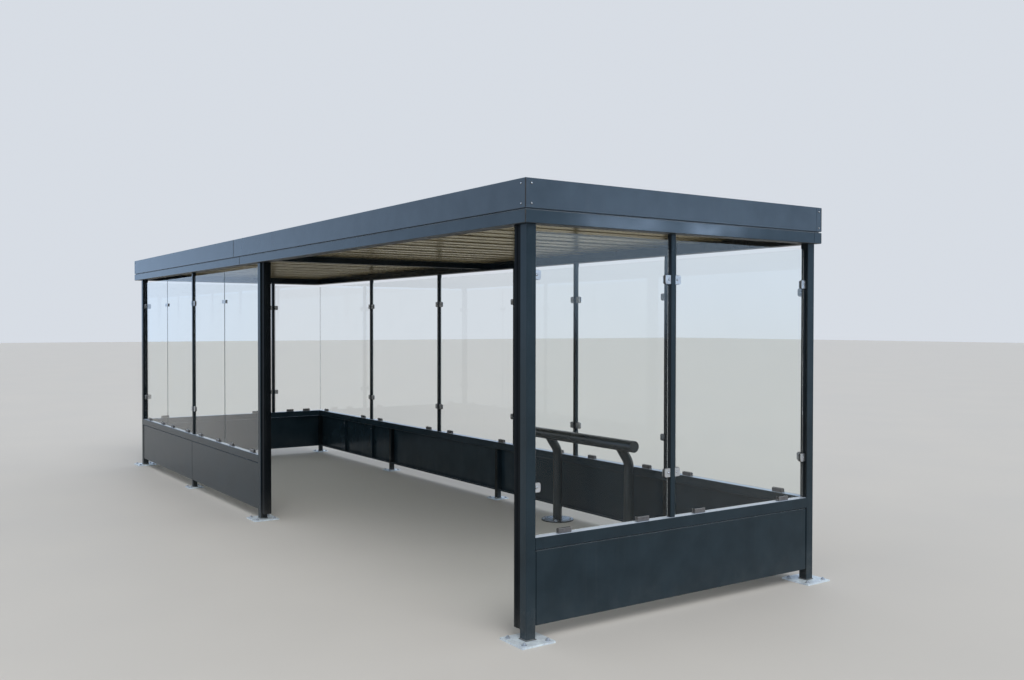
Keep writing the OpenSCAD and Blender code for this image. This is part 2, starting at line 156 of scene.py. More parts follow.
def mount_size(mount: str, size: str) -> float:
    """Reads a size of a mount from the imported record.

    Args:
        mount: The mount's name.
        size: The key of the size, in millimetres.

    Returns:
        The size in metres.
    """
    found = next(m for m in frame["record"]["mounts"] if m["name"] == mount)
    return found["dims"][size] * MM


def shift(x: float, y: float, z: float) -> Matrix:
    """Makes the matrix of a move."""
    return Matrix.Translation((x, y, z))


def turn(angle_deg: float, axis: str = "Z") -> Matrix:
    """Makes the matrix of a turn about an axis."""
    return Matrix.Rotation(math.radians(angle_deg), 4, axis)


# Shaping with Blender's own operators


def deselect() -> None:
    """Leaves nothing selected, and Blender in object mode."""
    if bpy.context.object and bpy.context.object.mode != "OBJECT":
        bpy.ops.object.mode_set(mode="OBJECT")
    bpy.ops.object.select_all(action="DESELECT")


def make_active(obj: Object) -> None:
    """Selects one object alone and makes it the active one.

    Args:
        obj: The object.
    """
    deselect()
    obj.select_set(True)
    bpy.context.view_layer.objects.active = obj


class Workpiece:
    """One mesh that is shaped with edit mode operators, in metres."""

    def __init__(self, name: str) -> None:
        """Takes over the primitive that was just added, and puts its place in its mesh.

        Args:
            name: The piece's name.
        """
        self.obj = bpy.context.active_object
        self.obj.name = name
        self.obj.data.name = name
        bpy.ops.object.transform_apply(location=True, rotation=True, scale=True)

    @classmethod
    def block(cls, name: str, corner: Sequence[float], other: Sequence[float]) -> "Workpiece":
        """Starts from a box.

        Args:
            name: The piece's name.
            corner: One corner of the box.
            other: The corner across from it.

        Returns:
            The piece.
        """
        deselect()
        centre = [(a + b) / 2 for a, b in zip(corner, other)]
        size = [abs(b - a) for a, b in zip(corner, other)]
        bpy.ops.mesh.primitive_cube_add(size=1.0, location=centre, scale=size)
        return cls(name)

    @classmethod
    def rod(
        cls, name: str, radius: float, length: float, sides: int, base: Vector = ORIGIN
    ) -> "Workpiece":
        """Starts from an upright cylinder.

        Args:
            name: The piece's name.
            radius: Its radius.
            length: Its height.
            sides: How many sides it has.
            base: The middle of its lower end.

        Returns:
            The piece.
        """
        deselect()
        middle = base + UP * length / 2
        bpy.ops.mesh.primitive_cylinder_add(
            vertices=sides, radius=radius, depth=length, location=middle
        )
        return cls(name)

    @contextmanager
    def shaping(self, kind: str = "FACE") -> Iterator[None]:
        """Holds the piece in edit mode, with nothing selected at the start.

        Args:
            kind: What is picked, FACE or EDGE.

        Returns:
            The context, which leaves edit mode at its end.
        """
        make_active(self.obj)
        bpy.ops.object.mode_set(mode="EDIT")
        bpy.ops.mesh.select_mode(type=kind)
        bpy.ops.mesh.select_all(action="DESELECT")
        yield
        bpy.ops.object.mode_set(mode="OBJECT")

    def pick_faces(self, test: Test) -> None:
        """Selects faces, and nothing else.

        Args:
            test: What the middle and the normal of such a face pass.
        """
        bpy.ops.mesh.select_all(action="DESELECT")
        mesh = bmesh.from_edit_mesh(self.obj.data)
        for face in mesh.faces:
            if test(face.calc_center_median(), face.normal):
                face.select_set(True)
        bmesh.update_edit_mesh(self.obj.data)

    def pick_top(self) -> None:
        """Selects the highest faces that look up."""
        top = max(v.co.z for v in bmesh.from_edit_mesh(self.obj.data).verts)
        self.pick_faces(lambda c, n: n.z > 0.9 and c.z > top - 0.01 * MM)

    def round_edges(self, width: float, segments: int, test: Test) -> "Workpiece":
        """Rounds some edges.

        Args:
            width: How far the rounding reaches from each edge.
            segments: How many faces make the rounding.
            test: What the two ends of such an edge pass.

        Returns:
            The piece.
        """
        with self.shaping("EDGE"):
            for edge in bmesh.from_edit_mesh(self.obj.data).edges:
                if test(edge.verts[0].co, edge.verts[1].co):
                    edge.select_set(True)
            bmesh.update_edit_mesh(self.obj.data)
            bpy.ops.mesh.bevel(offset=width, segments=segments, affect="EDGES")
        return self

    def step_up(self, *steps: tuple[float, float]) -> "Workpiece":
        """Raises the top face in steps, each scaled about the vertical through the origin.

        Args:
            steps: How far each step rises, and its size as a share of the one below.

        Returns:
            The piece.
        """
        with self.shaping():
            self.pick_top()
            for rise, share in steps:
                bpy.ops.mesh.extrude_region_move(TRANSFORM_OT_translate={"value": UP * rise})
                bpy.ops.transform.resize(value=(share, share, 1.0), center_override=ORIGIN)
        return self

    def finished(self, smooth_deg: float = 35.0) -> Object:
        """Merges doubles, turns the faces outwards and smooths what is round.

        Args:
            smooth_deg: The sharpest angle that is shaded smooth, in degrees.

        Returns:
            The finished object.
        """
        with self.shaping():
            bpy.ops.mesh.select_all(action="SELECT")
            bpy.ops.mesh.remove_doubles(threshold=0.01 * MM)
            bpy.ops.mesh.normals_make_consistent(inside=False)
        make_active(self.obj)
        bpy.ops.object.shade_smooth_by_angle(angle=math.radians(smooth_deg))
        return self.obj


@dataclass(frozen=True)
class Turned:
    """A small part as it comes off a lathe: a rod whose top rises in steps."""

    name: str
    radius: float
    height: float
    sides: int
    base: float = 0.0
    steps: tuple[tuple[float, float], ...] = ()

    def start(self) -> Workpiece:
        """Models the part upright at the origin."""
        piece = Workpiece.rod(self.name, self.radius, self.height, self.sides, UP * self.base)
        return piece.step_up(*self.steps)


def joined(name: str, parts: Sequence[Object]) -> Object:
    """Joins finished objects into one.

    Args:
        name: The joined object's name.
        parts: The objects, at least one.

    Returns:
        The joined object.
    """
    deselect()
    for part in parts:
        part.select_set(True)
    bpy.context.view_layer.objects.active = parts[0]
    if len(parts) > 1:
        bpy.ops.object.join()
    parts[0].name = name
    parts[0].data.name = name
    return parts[0]


def copied(name: str, master: Object, places: Sequence[Matrix]) -> Object:
    """Copies a finished shape to each place and joins the copies.

    Args:
        name: The name of the result.
        master: The shape, modelled round the origin. It is used up.
        places: Where each copy goes.

    Returns:
        One object that holds every copy.
    """
    copies = []
    for place in places:
        copy = master.copy()
        copy.data = master.data.copy()
        copy.data.transform(place)
        bpy.context.scene.collection.objects.link(copy)
        copies.append(copy)
    bpy.data.objects.remove(master)
    return joined(name, copies)


# Shader node helpers


class Graph:
    """Adds and links the nodes of one material, world or group."""

    def __init__(self, tree: bpy.types.NodeTree) -> None:
        """Takes the tree that the nodes go into."""
        self.tree = tree

    @cached_property
    def coords(self) -> bpy.types.bpy_prop_collection:
        """The texture coordinates."""
        return self.add("TexCoord")

    @cached_property
    def place(self) -> Socket:
        """The place on the shelter, in metres."""
        return self.coords["Object"]

    @cached_property
    def height(self) -> Socket:
        """The height above the ground, in metres."""
        return self.part(self.place, "Z")

    @cached_property
    def look_up(self) -> Socket:
        """How far a face looks up: 1 for up, -1 for down."""
        return self.part(self.coords["Normal"], "Z")

    def feed(self, node: bpy.types.Node, values: Mapping[str | int, object]) -> None:
        """Fills a node's inputs.

        Args:
            node: The node.
            values: What its inputs hold; an output socket is linked.
        """
        for name, value in values.items():
            socket = node.inputs[name]
            if isinstance(value, Socket):
                self.tree.links.new(value, socket)
            else:
                socket.default_value = (*value, 1.0) if socket.type == "RGBA" else value

    def add(
        self, kind: str, values: Mapping[str | int, object] | None = None, **settings: object
    ) -> bpy.types.bpy_prop_collection:
        """Adds a node.

        Args:
            kind: The node's type, without its ShaderNode prefix.
            values: What its inputs hold; an output socket is linked.
            settings: The node's own settings.

        Returns:
            The node's outputs.
        """
        node = self.tree.nodes.new("ShaderNode" + kind)
        for name, setting in settings.items():
            setattr(node, name, setting)
        self.feed(node, values or {})
        return node.outputs

    def part(self, vector: Socket, axis: str) -> Socket:
        """Takes one part of a vector."""
        return self.add("SeparateXYZ", {0: vector})[axis]

    def maths(self, operation: str, a: object, b: object = 0.0, clamp: bool = False) -> Socket:
        """Works out one sum, kept from 0 to 1 if clamp is set."""
        return self.add("Math", {0: a, 1: b}, operation=operation, use_clamp=clamp)[0]

    def times(self, a: object, b: object, clamp: bool = False) -> Socket:
        """Multiplies two values."""
        return self.maths("MULTIPLY", a, b, clamp)

    def plus(self, a: object, b: object, clamp: bool = False) -> Socket:
        """Adds two values."""
        return self.maths("ADD", a, b, clamp)

    def spread(
        self, value: object, low: float, high: float, start: float = 0.0, end: float = 1.0
    ) -> Socket:
        """Maps the range from low to high onto start to end, clamped."""
        ends = {"From Min": low, "From Max": high, "To Min": start, "To Max": end}
        return self.add("MapRange", {"Value": value} | ends)[0]

    def blend(self, share: object, first: object, second: object) -> Socket:
        """Mixes two colours, by the second one's share."""
        return self.add("Mix", {0: share, 6: first, 7: second}, data_type="RGBA")[2]

    def noise(self, vector: Socket, scale: object, detail: float = 3.0) -> Socket:
        """Adds a noise pattern, about 0.3 to 0.7, with its scale in repeats a metre."""
        return self.add("TexNoise", {"Vector": vector, "Scale": scale, "Detail": detail})[0]

    def stretched(self, vector: Socket, scale: Triple) -> Socket:
        """Scales coordinates by a different amount along each axis."""
        return self.add("Mapping", {0: vector, 3: scale})[0]

    def effect(self, tree: bpy.types.NodeTree, **values: float) -> bpy.types.bpy_prop_collection:
        """Adds a shared effect with its settings."""
        return self.add("Group", values, node_tree=tree)


class EffectGraph(Graph):
    """The nodes of one effect that several finishes share."""

    def __init__(self, name: str, **inputs: float) -> None:
        """Starts the node group.

        Args:
            name: The group's name.
            inputs: Its number inputs, with their defaults.
        """
        super().__init__(bpy.data.node_groups.new(name, "ShaderNodeTree"))
        for title, value in inputs.items():
            self.socket(title, "INPUT").default_value = value
        self.given = self.tree.nodes.new("NodeGroupInput").outputs

    def socket(self, title: str, way: str) -> bpy.types.NodeTreeInterfaceSocket:
        """Adds a number socket to the group, INPUT or OUTPUT."""
        interface = self.tree.interface
        return interface.new_socket(title, in_out=way, socket_type="NodeSocketFloat")

    def give(self, **results: Socket) -> bpy.types.NodeTree:
        """Puts out the results.

        Args:
            results: The socket of each output.

        Returns:
            The finished group.
        """
        for title in results:
            self.socket(title, "OUTPUT")
        self.feed(self.tree.nodes.new("NodeGroupOutput"), results)
        return self.tree


class Effects:
    """The effects that several finishes share, each built once as a node group."""

    @cached_property
    def dust(self) -> bpy.types.NodeTree:
        """Dust on what looks up and splashes near the ground.

        Returns:
            A group that puts out Mask.
        """
        graph = EffectGraph("dust_and_splash", Top=0.3, Splash=0.3, Reach=0.3)
        patches = graph.spread(graph.noise(graph.place, 9.0, 5.0), 0.35, 0.65, 0.35, 1.0)
        specks = graph.spread(graph.noise(graph.place, 420.0, 3.0), 0.35, 0.7)
        top = graph.times(graph.spread(graph.look_up, 0.6, 0.95), graph.given["Top"])
        near = graph.maths("DIVIDE", graph.height, graph.given["Reach"])
        low = graph.maths("POWER", graph.maths("SUBTRACT", 1.0, near, clamp=True), 2.0)
        low = graph.times(graph.times(low, specks), graph.given["Splash"])
        return graph.give(Mask=graph.times(graph.plus(top, low), patches, clamp=True))

    @cached_property
    def grain(self) -> bpy.types.NodeTree:
        """The fine skin of powder coat over slightly wavy sheet.

        Returns:
            A group that puts out Height and Tone.
        """
        graph = EffectGraph("powder_grain", Waves=1.0, Skin=0.02)
        skin = graph.times(graph.noise(graph.place, 700.0, 2.0), graph.given["Skin"])
        waves = graph.times(graph.noise(graph.place, 2.6, 1.0), graph.given["Waves"])
        tone = graph.noise(graph.place, 5.0, 4.0)
        return graph.give(Height=graph.plus(skin, waves), Tone=tone)

    @cached_property
    def runs(self) -> bpy.types.NodeTree:
        """Faint marks where rain has run down.

        Returns:
            A group that puts out Mask.
        """
        graph = EffectGraph("rain_runs", Amount=0.2)
        lines = graph.noise(graph.stretched(graph.place, (28.0, 28.0, 1.1)), 1.0, 3.0)
        clumps = graph.spread(graph.noise(graph.place, 1.7, 2.0), 0.4, 0.62)
        mask = graph.times(graph.spread(lines, 0.52, 0.72), clumps)
        return graph.give(Mask=graph.times(mask, graph.given["Amount"], clamp=True))

    @cached_property
    def inward(self) -> bpy.types.NodeTree:
        """What looks into the shelter or down, where the roof keeps the light off.

        Returns:
            A group that puts out Mask.
        """
        graph = EffectGraph("inward_faces")
        flat = graph.add("VectorMath", {0: graph.place, 1: (1.0, 1.0, 0.0)}, operation="MULTIPLY")
        both = {0: flat[0], 1: graph.coords["Normal"]}
        outward = graph.add("VectorMath", both, operation="DOT_PRODUCT")["Value"]
        side = graph.spread(outward, 0.15, 0.40, 1.0, 0.0)
        return graph.give(Mask=graph.times(side, graph.spread(graph.look_up, 0.3, 0.7, 1.0, 0.0)))

    @cached_property
    def brushing(self) -> bpy.types.NodeTree:
        """Fine upright brushing lines.

        Returns:
            A group that puts out Height and Tone.
        """
        graph = EffectGraph("brushing", Fineness=1500.0)
        flat = graph.stretched(graph.place, (1.0, 1.0, 0.02))
        lines = graph.noise(flat, graph.given["Fineness"], 2.0)
        return graph.give(Height=lines, Tone=graph.noise(graph.place, 60.0, 3.0))


EFFECTS = Effects()


class MaterialGraph(Graph):
    """The nodes of one material round its Principled shader."""

    def __init__(self, name: str) -> None:
        """Starts the material.

        Args:
            name: The material's name.
        """
        self.material = bpy.data.materials.new(name)
        self.material.use_nodes = True
        super().__init__(self.material.node_tree)
        kinds = {node.type: node for node in self.tree.nodes}
        self.shader = kinds["BSDF_PRINCIPLED"]
        self.output = kinds["OUTPUT_MATERIAL"]

    def shade(self, values: Mapping[str, object]) -> None:
        """Fills the Principled shader's inputs."""
        self.feed(self.shader, values)

    def bump(self, strength: float, distance: float, height: Socket) -> Socket:
        """Adds a bump, with its distance in metres."""
        return self.add("Bump", {"Strength": strength, "Distance": distance, "Height": height})[0]


# Finishes


@dataclass(frozen=True)
class Coat:
    """What every finish has: a name, and a material that is built when it is first used."""

    name: str

    @property
    def material(self) -> bpy.types.Material:
        """The finish's material."""
        return bpy.data.materials.get(self.name) or self.build()

    def build(self) -> bpy.types.Material:
        """Builds the material.

        Returns:
            The material.
        """
        graph = MaterialGraph(self.name)
        self.wire(graph)
        return graph.material

    def wire(self, graph: MaterialGraph) -> None:
        """Fills the material's graph; each finish has its own way."""
        raise NotImplementedError


@dataclass(frozen=True)
class PaintFinish(Coat):
    """Satin powder coat on steel, with dust, rain runs and a fine skin."""

    colour: Colour
    roughness: float
    specular: float
    dust_colour: Colour = (0.42, 0.42, 0.40)
    top_dust: float = 0.45
    splash: float = 0.25
    splash_reach: float = 0.35
    runs: float = 0.01
    waves: float = 1.0
    skin: float = 0.02
    under_matt: float = 0.40
    # How bright the painted shade leaves faces that look into the shelter or down: 1 is none, 0 is
    # black.
    inward: float = 1.0
    # How strong the painted sheen on faces that look up is, and its pale blue colour.
    ledge: float = 0.0
    ledge_colour: Colour = (0.50, 0.58, 0.70)
    fold_z: float = -1.0
    fold_h: float = 2.5 * MM
    # The colour of the painted highlight along the fold.
    fold_colour: Colour = (0.16, 0.19, 0.22)

    def wire(self, graph: MaterialGraph) -> None:
        """Wires paint, painted shade inside, a painted highlight on the fold, a painted sheen on
        ledges, and dirt.

        Args:
            graph: The material's graph.
        """
        settings = {"Top": self.top_dust, "Splash": self.splash, "Reach": self.splash_reach}
        dust = graph.effect(EFFECTS.dust, **settings)["Mask"]
        runs = graph.effect(EFFECTS.runs, Amount=self.runs)["Mask"]
        grain = graph.effect(EFFECTS.grain, Waves=self.waves, Skin=self.skin)
        lighter = tuple(c * 1.25 + 0.002 for c in self.colour)
        paint = graph.blend(graph.spread(grain["Tone"], 0.35, 0.65), self.colour, lighter)
        # Painted shade: faces that look into the shelter or down are darkened towards black.
        shade = graph.times(graph.effect(EFFECTS.inward)["Mask"], 1.0 - self.inward)
        paint = graph.blend(shade, paint, BLACK)
        # Painted highlight: a thin lighter band at the fold's height, for the light a rounded folded
        # edge catches.
        away = graph.maths("ABSOLUTE", graph.maths("SUBTRACT", graph.height, self.fold_z))
        fold_highlight = graph.spread(away, self.fold_h * 0.5, self.fold_h, 0.8, 0.0)
        paint = graph.blend(fold_highlight, paint, self.fold_colour)
        # Painted sheen: faces that look up are lightened towards pale blue, like a wet ledge under the
        # sky.
        top = graph.times(graph.spread(graph.look_up, 0.85, 0.98), self.ledge)
        paint = graph.blend(top, paint, self.ledge_colour)
        dirt = graph.plus(dust, runs, clamp=True)
        matt = graph.spread(dirt, 0.0, 0.6, self.roughness, self.roughness + 0.25)
        matt = graph.plus(matt, graph.spread(grain["Tone"], 0.3, 0.7, -0.02, 0.03))
        under = graph.spread(graph.look_up, -0.9, -0.5, 1.0, 0.0)
        graph.shade({
            "Base Color": graph.blend(dirt, paint, self.dust_colour),
            "Roughness": graph.plus(matt, graph.times(under, self.under_matt)),
            "Specular IOR Level": self.specular,
            "Normal": graph.bump(1.0, 0.0016, grain["Height"]),
        })


@dataclass(frozen=True)
class CeilingFinish(Coat):
    """The deck: dark glossy boards below, pale coated sheet above."""

    start: float
    below: Colour = (0.248, 0.202, 0.094)
    below_deep: Colour = (0.202, 0.166, 0.080)
    graze: Colour = (0.56, 0.50, 0.34)
    # The colour of the painted shade in the grooves between the boards.
    line: Colour = (0.134, 0.110, 0.062)
    above: Colour = (0.36, 0.38, 0.39)
    above_dust: Colour = (0.22, 0.21, 0.18)
    board: float = 0.1125
    line_w: float = 0.007
    seam_w: float = 0.016
    seam_every: float = 4.0
    first_seam: float = 2.0
    below_metal: float = 0.75
    below_roughness: float = 0.22
    above_roughness: float = 0.45

    def lines(self, graph: Graph, along: Socket) -> Socket:
        """Marks where painted shade goes in the grooves between the boards, with wider seams at every
        fourth.

        Args:
            graph: The material's graph.
            along: The place along the roof, in metres.

        Returns:
            The mask's socket.
        """
        steps = graph.maths("DIVIDE", graph.maths("SUBTRACT", along, self.start), self.board)
        away = graph.maths("ABSOLUTE", graph.maths("SUBTRACT", graph.maths("FRACT", steps), 0.5))
        number = graph.maths("MODULO", graph.maths("FLOOR", steps), self.seam_every)
        seam = graph.add("Math", {0: number, 1: self.first_seam, 2: 0.5}, operation="COMPARE")[0]
        width = graph.spread(seam, 0.0, 1.0, self.line_w / self.board, self.seam_w / self.board)
        return graph.spread(graph.maths("DIVIDE", away, width), 0.35, 0.75, 1.0, 0.0)

    def wire(self, graph: MaterialGraph) -> None:
        """Wires the boards below and the sheet above.

        Args:
            graph: The material's graph.
        """
        under = graph.spread(graph.look_up, -0.3, 0.3, 1.0, 0.0)
        along = graph.part(graph.place, "X")
        number = graph.maths("FLOOR", graph.maths("DIVIDE", along, self.board))
        shade = graph.add("TexWhiteNoise", {"W": number}, noise_dimensions="1D")[0]
        streaks = graph.noise(graph.stretched(graph.place, (90.0, 2.2, 1.0)), 1.0, 4.0)
        tone = graph.plus(graph.times(shade, 0.6), graph.spread(streaks, 0.3, 0.7, 0.0, 0.4))
        boards = graph.blend(tone, self.below, self.below_deep)
        # Painted shade: the grooves between the boards are darkened.
        boards = graph.blend(self.lines(graph, along), boards, self.line)
        dust = graph.effect(EFFECTS.dust, Top=0.35, Splash=0.0)["Mask"]
        sheet = graph.blend(dust, self.above, self.above_dust)
        gloss = self.below_roughness
        gloss = graph.spread(streaks, 0.3, 0.7, gloss - 0.03, gloss + 0.05)
        rough = {0: under, 2: self.above_roughness, 3: gloss}
        ripple = graph.noise(graph.stretched(graph.place, (7.0, 1.3, 1.0)), 1.0, 2.0)
        graph.shade({
            "Base Color": graph.blend(under, sheet, boards),
            "Metallic": graph.times(under, self.below_metal),
            "Specular Tint": self.graze,
            "Roughness": graph.add("Mix", rough, data_type="FLOAT")[0],
            "Normal": graph.bump(0.6, 0.002, ripple),
        })


@dataclass(frozen=True)
class ZincFinish(Coat):
    """Hot dipped zinc with its spangle."""

    colour: Colour = (0.66, 0.76, 0.90)
    roughness: float = 0.42
    spangle: float = 85.0
    metal: float = 0.15
    dust_colour: Colour = (0.40, 0.38, 0.34)

    def wire(self, graph: MaterialGraph) -> None:
        """Wires the spangle, clouds and dust.

        Args:
            graph: The material's graph.
        """
        cells = graph.add("TexVoronoi", {"Vector": graph.place, "Scale": self.spangle})["Color"]
        facet = graph.add("SeparateColor", {0: cells})[0]
        cloud = graph.noise(graph.place, 24.0, 4.0)
        pale = tuple(min(1.0, c * 1.22) for c in self.colour)
        deep = tuple(c * 0.74 for c in self.colour)
        tone = graph.plus(graph.times(facet, 0.45), graph.spread(cloud, 0.3, 0.7, 0.0, 0.55))
        dust = graph.effect(EFFECTS.dust, Top=0.25, Splash=0.25, Reach=0.05)["Mask"]
        low, high = self.roughness - 0.08, self.roughness + 0.08
        graph.shade({
            "Base Color": graph.blend(dust, graph.blend(tone, deep, pale), self.dust_colour),
            "Metallic": self.metal,
            "Roughness": graph.spread(tone, 0.0, 1.0, high, low),
            "Normal": graph.bump(0.4, 0.0006, cloud),
        })


@dataclass(frozen=True)
class StainlessFinish(Coat):
    """Brushed or polished stainless steel."""

    colour: Colour
    roughness: float = 0.34
    fineness: float = 1500.0
    depth: float = 0.00004
    # How bright the painted shade leaves faces that look into the shelter or down: 1 is none, 0 is
    # black.
    inward: float = 1.0
    # How strong the painted highlight on faces that look up is, and its colour.
    top: float = 0.0
    top_colour: Colour = (0.80, 0.80, 0.79)

    def wire(self, graph: MaterialGraph) -> None:
        """Wires the brushing, the shade inside and the light on top.

        Args:
            graph: The material's graph.
        """
        lines = graph.effect(EFFECTS.brushing, Fineness=self.fineness)
        tone = graph.spread(lines["Tone"], 0.3, 0.7)
        pale = tuple(c * 1.12 for c in self.colour)
        deep = tuple(c * 0.86 for c in self.colour)
        # Painted shade: faces that look into the shelter or down are darkened towards black.
        shade = graph.times(graph.effect(EFFECTS.inward)["Mask"], 1.0 - self.inward)
        steel = graph.blend(shade, graph.blend(tone, deep, pale), BLACK)
        # Painted highlight: faces that look up are lightened towards pale steel.
        top_highlight = graph.times(graph.spread(graph.look_up, 0.85, 0.98), self.top)
        low, high = self.roughness - 0.05, self.roughness + 0.05
        graph.shade({
            "Base Color": graph.blend(top_highlight, steel, self.top_colour),
            "Metallic": 1.0,
            "Roughness": graph.spread(tone, 0.0, 1.0, high, low),
            "Normal": graph.bump(0.8, self.depth, lines["Height"]),
        })


@dataclass(frozen=True)
class RubberFinish(Coat):
    """Sealing rubber, a little dusty."""

    colour: Colour
    dust_colour: Colour = (0.045, 0.044, 0.042)

    def wire(self, graph: MaterialGraph) -> None:
        """Wires the dust and specks.

        Args:
            graph: The material's graph.
        """
        cloud = graph.noise(graph.place, 30.0, 3.0)
        dusty = graph.blend(graph.spread(cloud, 0.4, 0.8), self.colour, self.dust_colour)
        graph.shade({
            "Base Color": dusty,
            "Roughness": graph.spread(cloud, 0.3, 0.7, 0.55, 0.75),
            "Normal": graph.bump(0.5, 0.00008, graph.noise(graph.place, 900.0, 2.0)),
        })


@dataclass(frozen=True)
class GlassFinish(Coat):
    """Clear toughened glass with ground edges, for panes that face one way."""

    facing: Facing
    ior: float
    tint: Colour = (0.965, 0.985, 0.978)
    film: Colour = (0.93, 0.955, 0.95)
    edge: Colour = (0.05, 0.08, 0.09)
    edge_roughness: float = 0.7
    shadow: Colour = (0.90, 0.92, 0.915)
    # The painted reflection strength: damped low on the pane, livelier high up.
    calm: Colour = (0.05, 0.05, 0.05)
    lively: Colour = (0.88, 0.98, 1.0)
    low_z: float = 1.55
    high_z: float = 2.00

    def wire(self, graph: MaterialGraph) -> None:
        """Wires clear faces, dark edges, a painted reflection that is livelier high up, and a clear
        shadow.

        Args:
            graph: The material's graph.
        """
        look = graph.add("SeparateXYZ", {0: graph.coords["Normal"]})[self.facing.value]
        rim = graph.spread(graph.maths("ABSOLUTE", look), 0.3, 0.9, 1.0, 0.0)
        film = graph.spread(graph.noise(graph.place, 3.5, 5.0), 0.45, 0.75)
        clear = graph.blend(graph.times(film, 0.35), self.tint, self.film)
        high = graph.spread(graph.height, self.low_z, self.high_z)
        graph.shade({
            "Base Color": graph.blend(rim, clear, self.edge),
            "Roughness": graph.times(rim, self.edge_roughness),
            "Transmission Weight": 1.0,
            "IOR": self.ior,
            # Painted reflection: the specular tint rises with height, so reflections are damped low
            # down.
            "Specular Tint": graph.blend(high, self.calm, self.lively),
        })
        path = graph.add("LightPath")
        lamp = graph.maths("MAXIMUM", path["Is Shadow Ray"], path["Is Diffuse Ray"])
        through = graph.add("BsdfTransparent", {0: self.shadow})[0]
        mixed = graph.add("MixShader", {0: lamp, 1: graph.shader.outputs[0], 2: through})
        graph.feed(graph.output, {"Surface": mixed[0]})


class Finish(Enum):
    """Every finish of the shelter. A CAD node's slot names its finish, unless it is special."""

    FASCIA = PaintFinish(
        "fascia_paint", (0.034, 0.054, 0.078), 0.20, 0.42, splash=0.0, skin=0.005
    )
    BEAM = PaintFinish(
        "beam_paint", (0.018, 0.033, 0.048), 0.10, 0.34, splash=0.0, skin=0.002, inward=0.3,
        fold_z=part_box("edge_beam_front")[1].z,
    )
    POST = PaintFinish(
        "post_paint", (0.013, 0.025, 0.035), 0.24, 0.18, runs=0.03, waves=0.3, inward=0.3
    )
    PANEL = PaintFinish(
        "panel_paint", (0.012, 0.024, 0.034), 0.20, 0.20, waves=0.45, skin=0.008, splash=0.14,
        top_dust=0.1, ledge=1.0, fold_z=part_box("panels_front")[1].z,
    )
    PERCH = PaintFinish(
        "perch_paint", (0.012, 0.019, 0.024), 0.20, 0.45, runs=0.02, waves=0.2, top_dust=0.15
    )
    # Near-black paint for the entrance channels and their trims: dark paint, made darker as painted
    # shade of the channel recesses.
    TRIM = PaintFinish(
        "trim_paint_and_shade", (0.004, 0.006, 0.008), 0.45, 0.05, runs=0.02, waves=0.2, inward=0.8
    )
    DECK = CeilingFinish("deck_boards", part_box("roof_deck")[0].x)
    ZINC = ZincFinish("plate_zinc")
    BOLTS = ZincFinish("bolt_zinc", (0.46, 0.49, 0.53), 0.30, 240.0, 0.7)
    CLAMP = StainlessFinish("clamp_steel", (0.58, 0.58, 0.57), inward=0.45)
    SHOE = StainlessFinish("shoe_steel", (0.20, 0.192, 0.188), 0.40, inward=0.7, top=0.9)
    SCREW = StainlessFinish("screw_steel", (0.62, 0.62, 0.61), 0.20, 3000.0, 0.00001)
    # Dark strips under the ceiling: their colour is painted shade in the grooves between the boards.
    STRIP = RubberFinish("groove_shade_strip", (0.190, 0.156, 0.090))
    RUBBER = RubberFinish("sealing_rubber", (0.012, 0.012, 0.013))
    GLASS_ALONG_X = GlassFinish("pane_glass_along_x", Facing.ALONG_X, 1.64)
    GLASS_ALONG_Y = GlassFinish("pane_glass_along_y", Facing.ALONG_Y, 1.36)


def fitted(piece: Object, finish: Finish, slot: str, *stands_for: str) -> None:
    """Gives a new piece its finish and its place on the frame.

    Args:
        piece: The finished object.
        finish: Its finish.
        slot: The record's material slot; not used.
        stands_for: CAD nodes that the piece replaces.
    """
    piece.data.materials.clear()
    piece.data.materials.append(finish.value.material)
    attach(piece, BODY)
    if stands_for:
        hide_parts(*stands_for)
    LOG.info("%s: %d faces", piece.name, len(piece.data.polygons))


# Sub-assemblies


@dataclass(frozen=True)
class CadDress:
    """The finishes of the CAD nodes that stay."""

    shoes: Finish = Finish.SHOE
    # The entrance channels take the near-black trim paint, which is partly painted shade.
    channels: Finish = Finish.TRIM

    def build(self) -> None:
        """Gives every CAD node the finish of its slot, of its wall or of its own."""
        special = {"rail_shoes": self.shoes, "entrance_channels": self.channels}
        for part in frame["record"]["subparts"]:
            name, slot = part["node"], part["material_slot"]
            if slot == "glass":
                finish = Finish["GLASS_" + Wall(name.rsplit("_", 1)[1]).facing.name]
            else:
                finish = special.get(name) or Finish[slot.upper()]
            mesh = frame["nodes"][name].data
            mesh.materials.clear()
            mesh.materials.append(finish.value.material)
            LOG.info("%s: %s", name, finish.value.name)


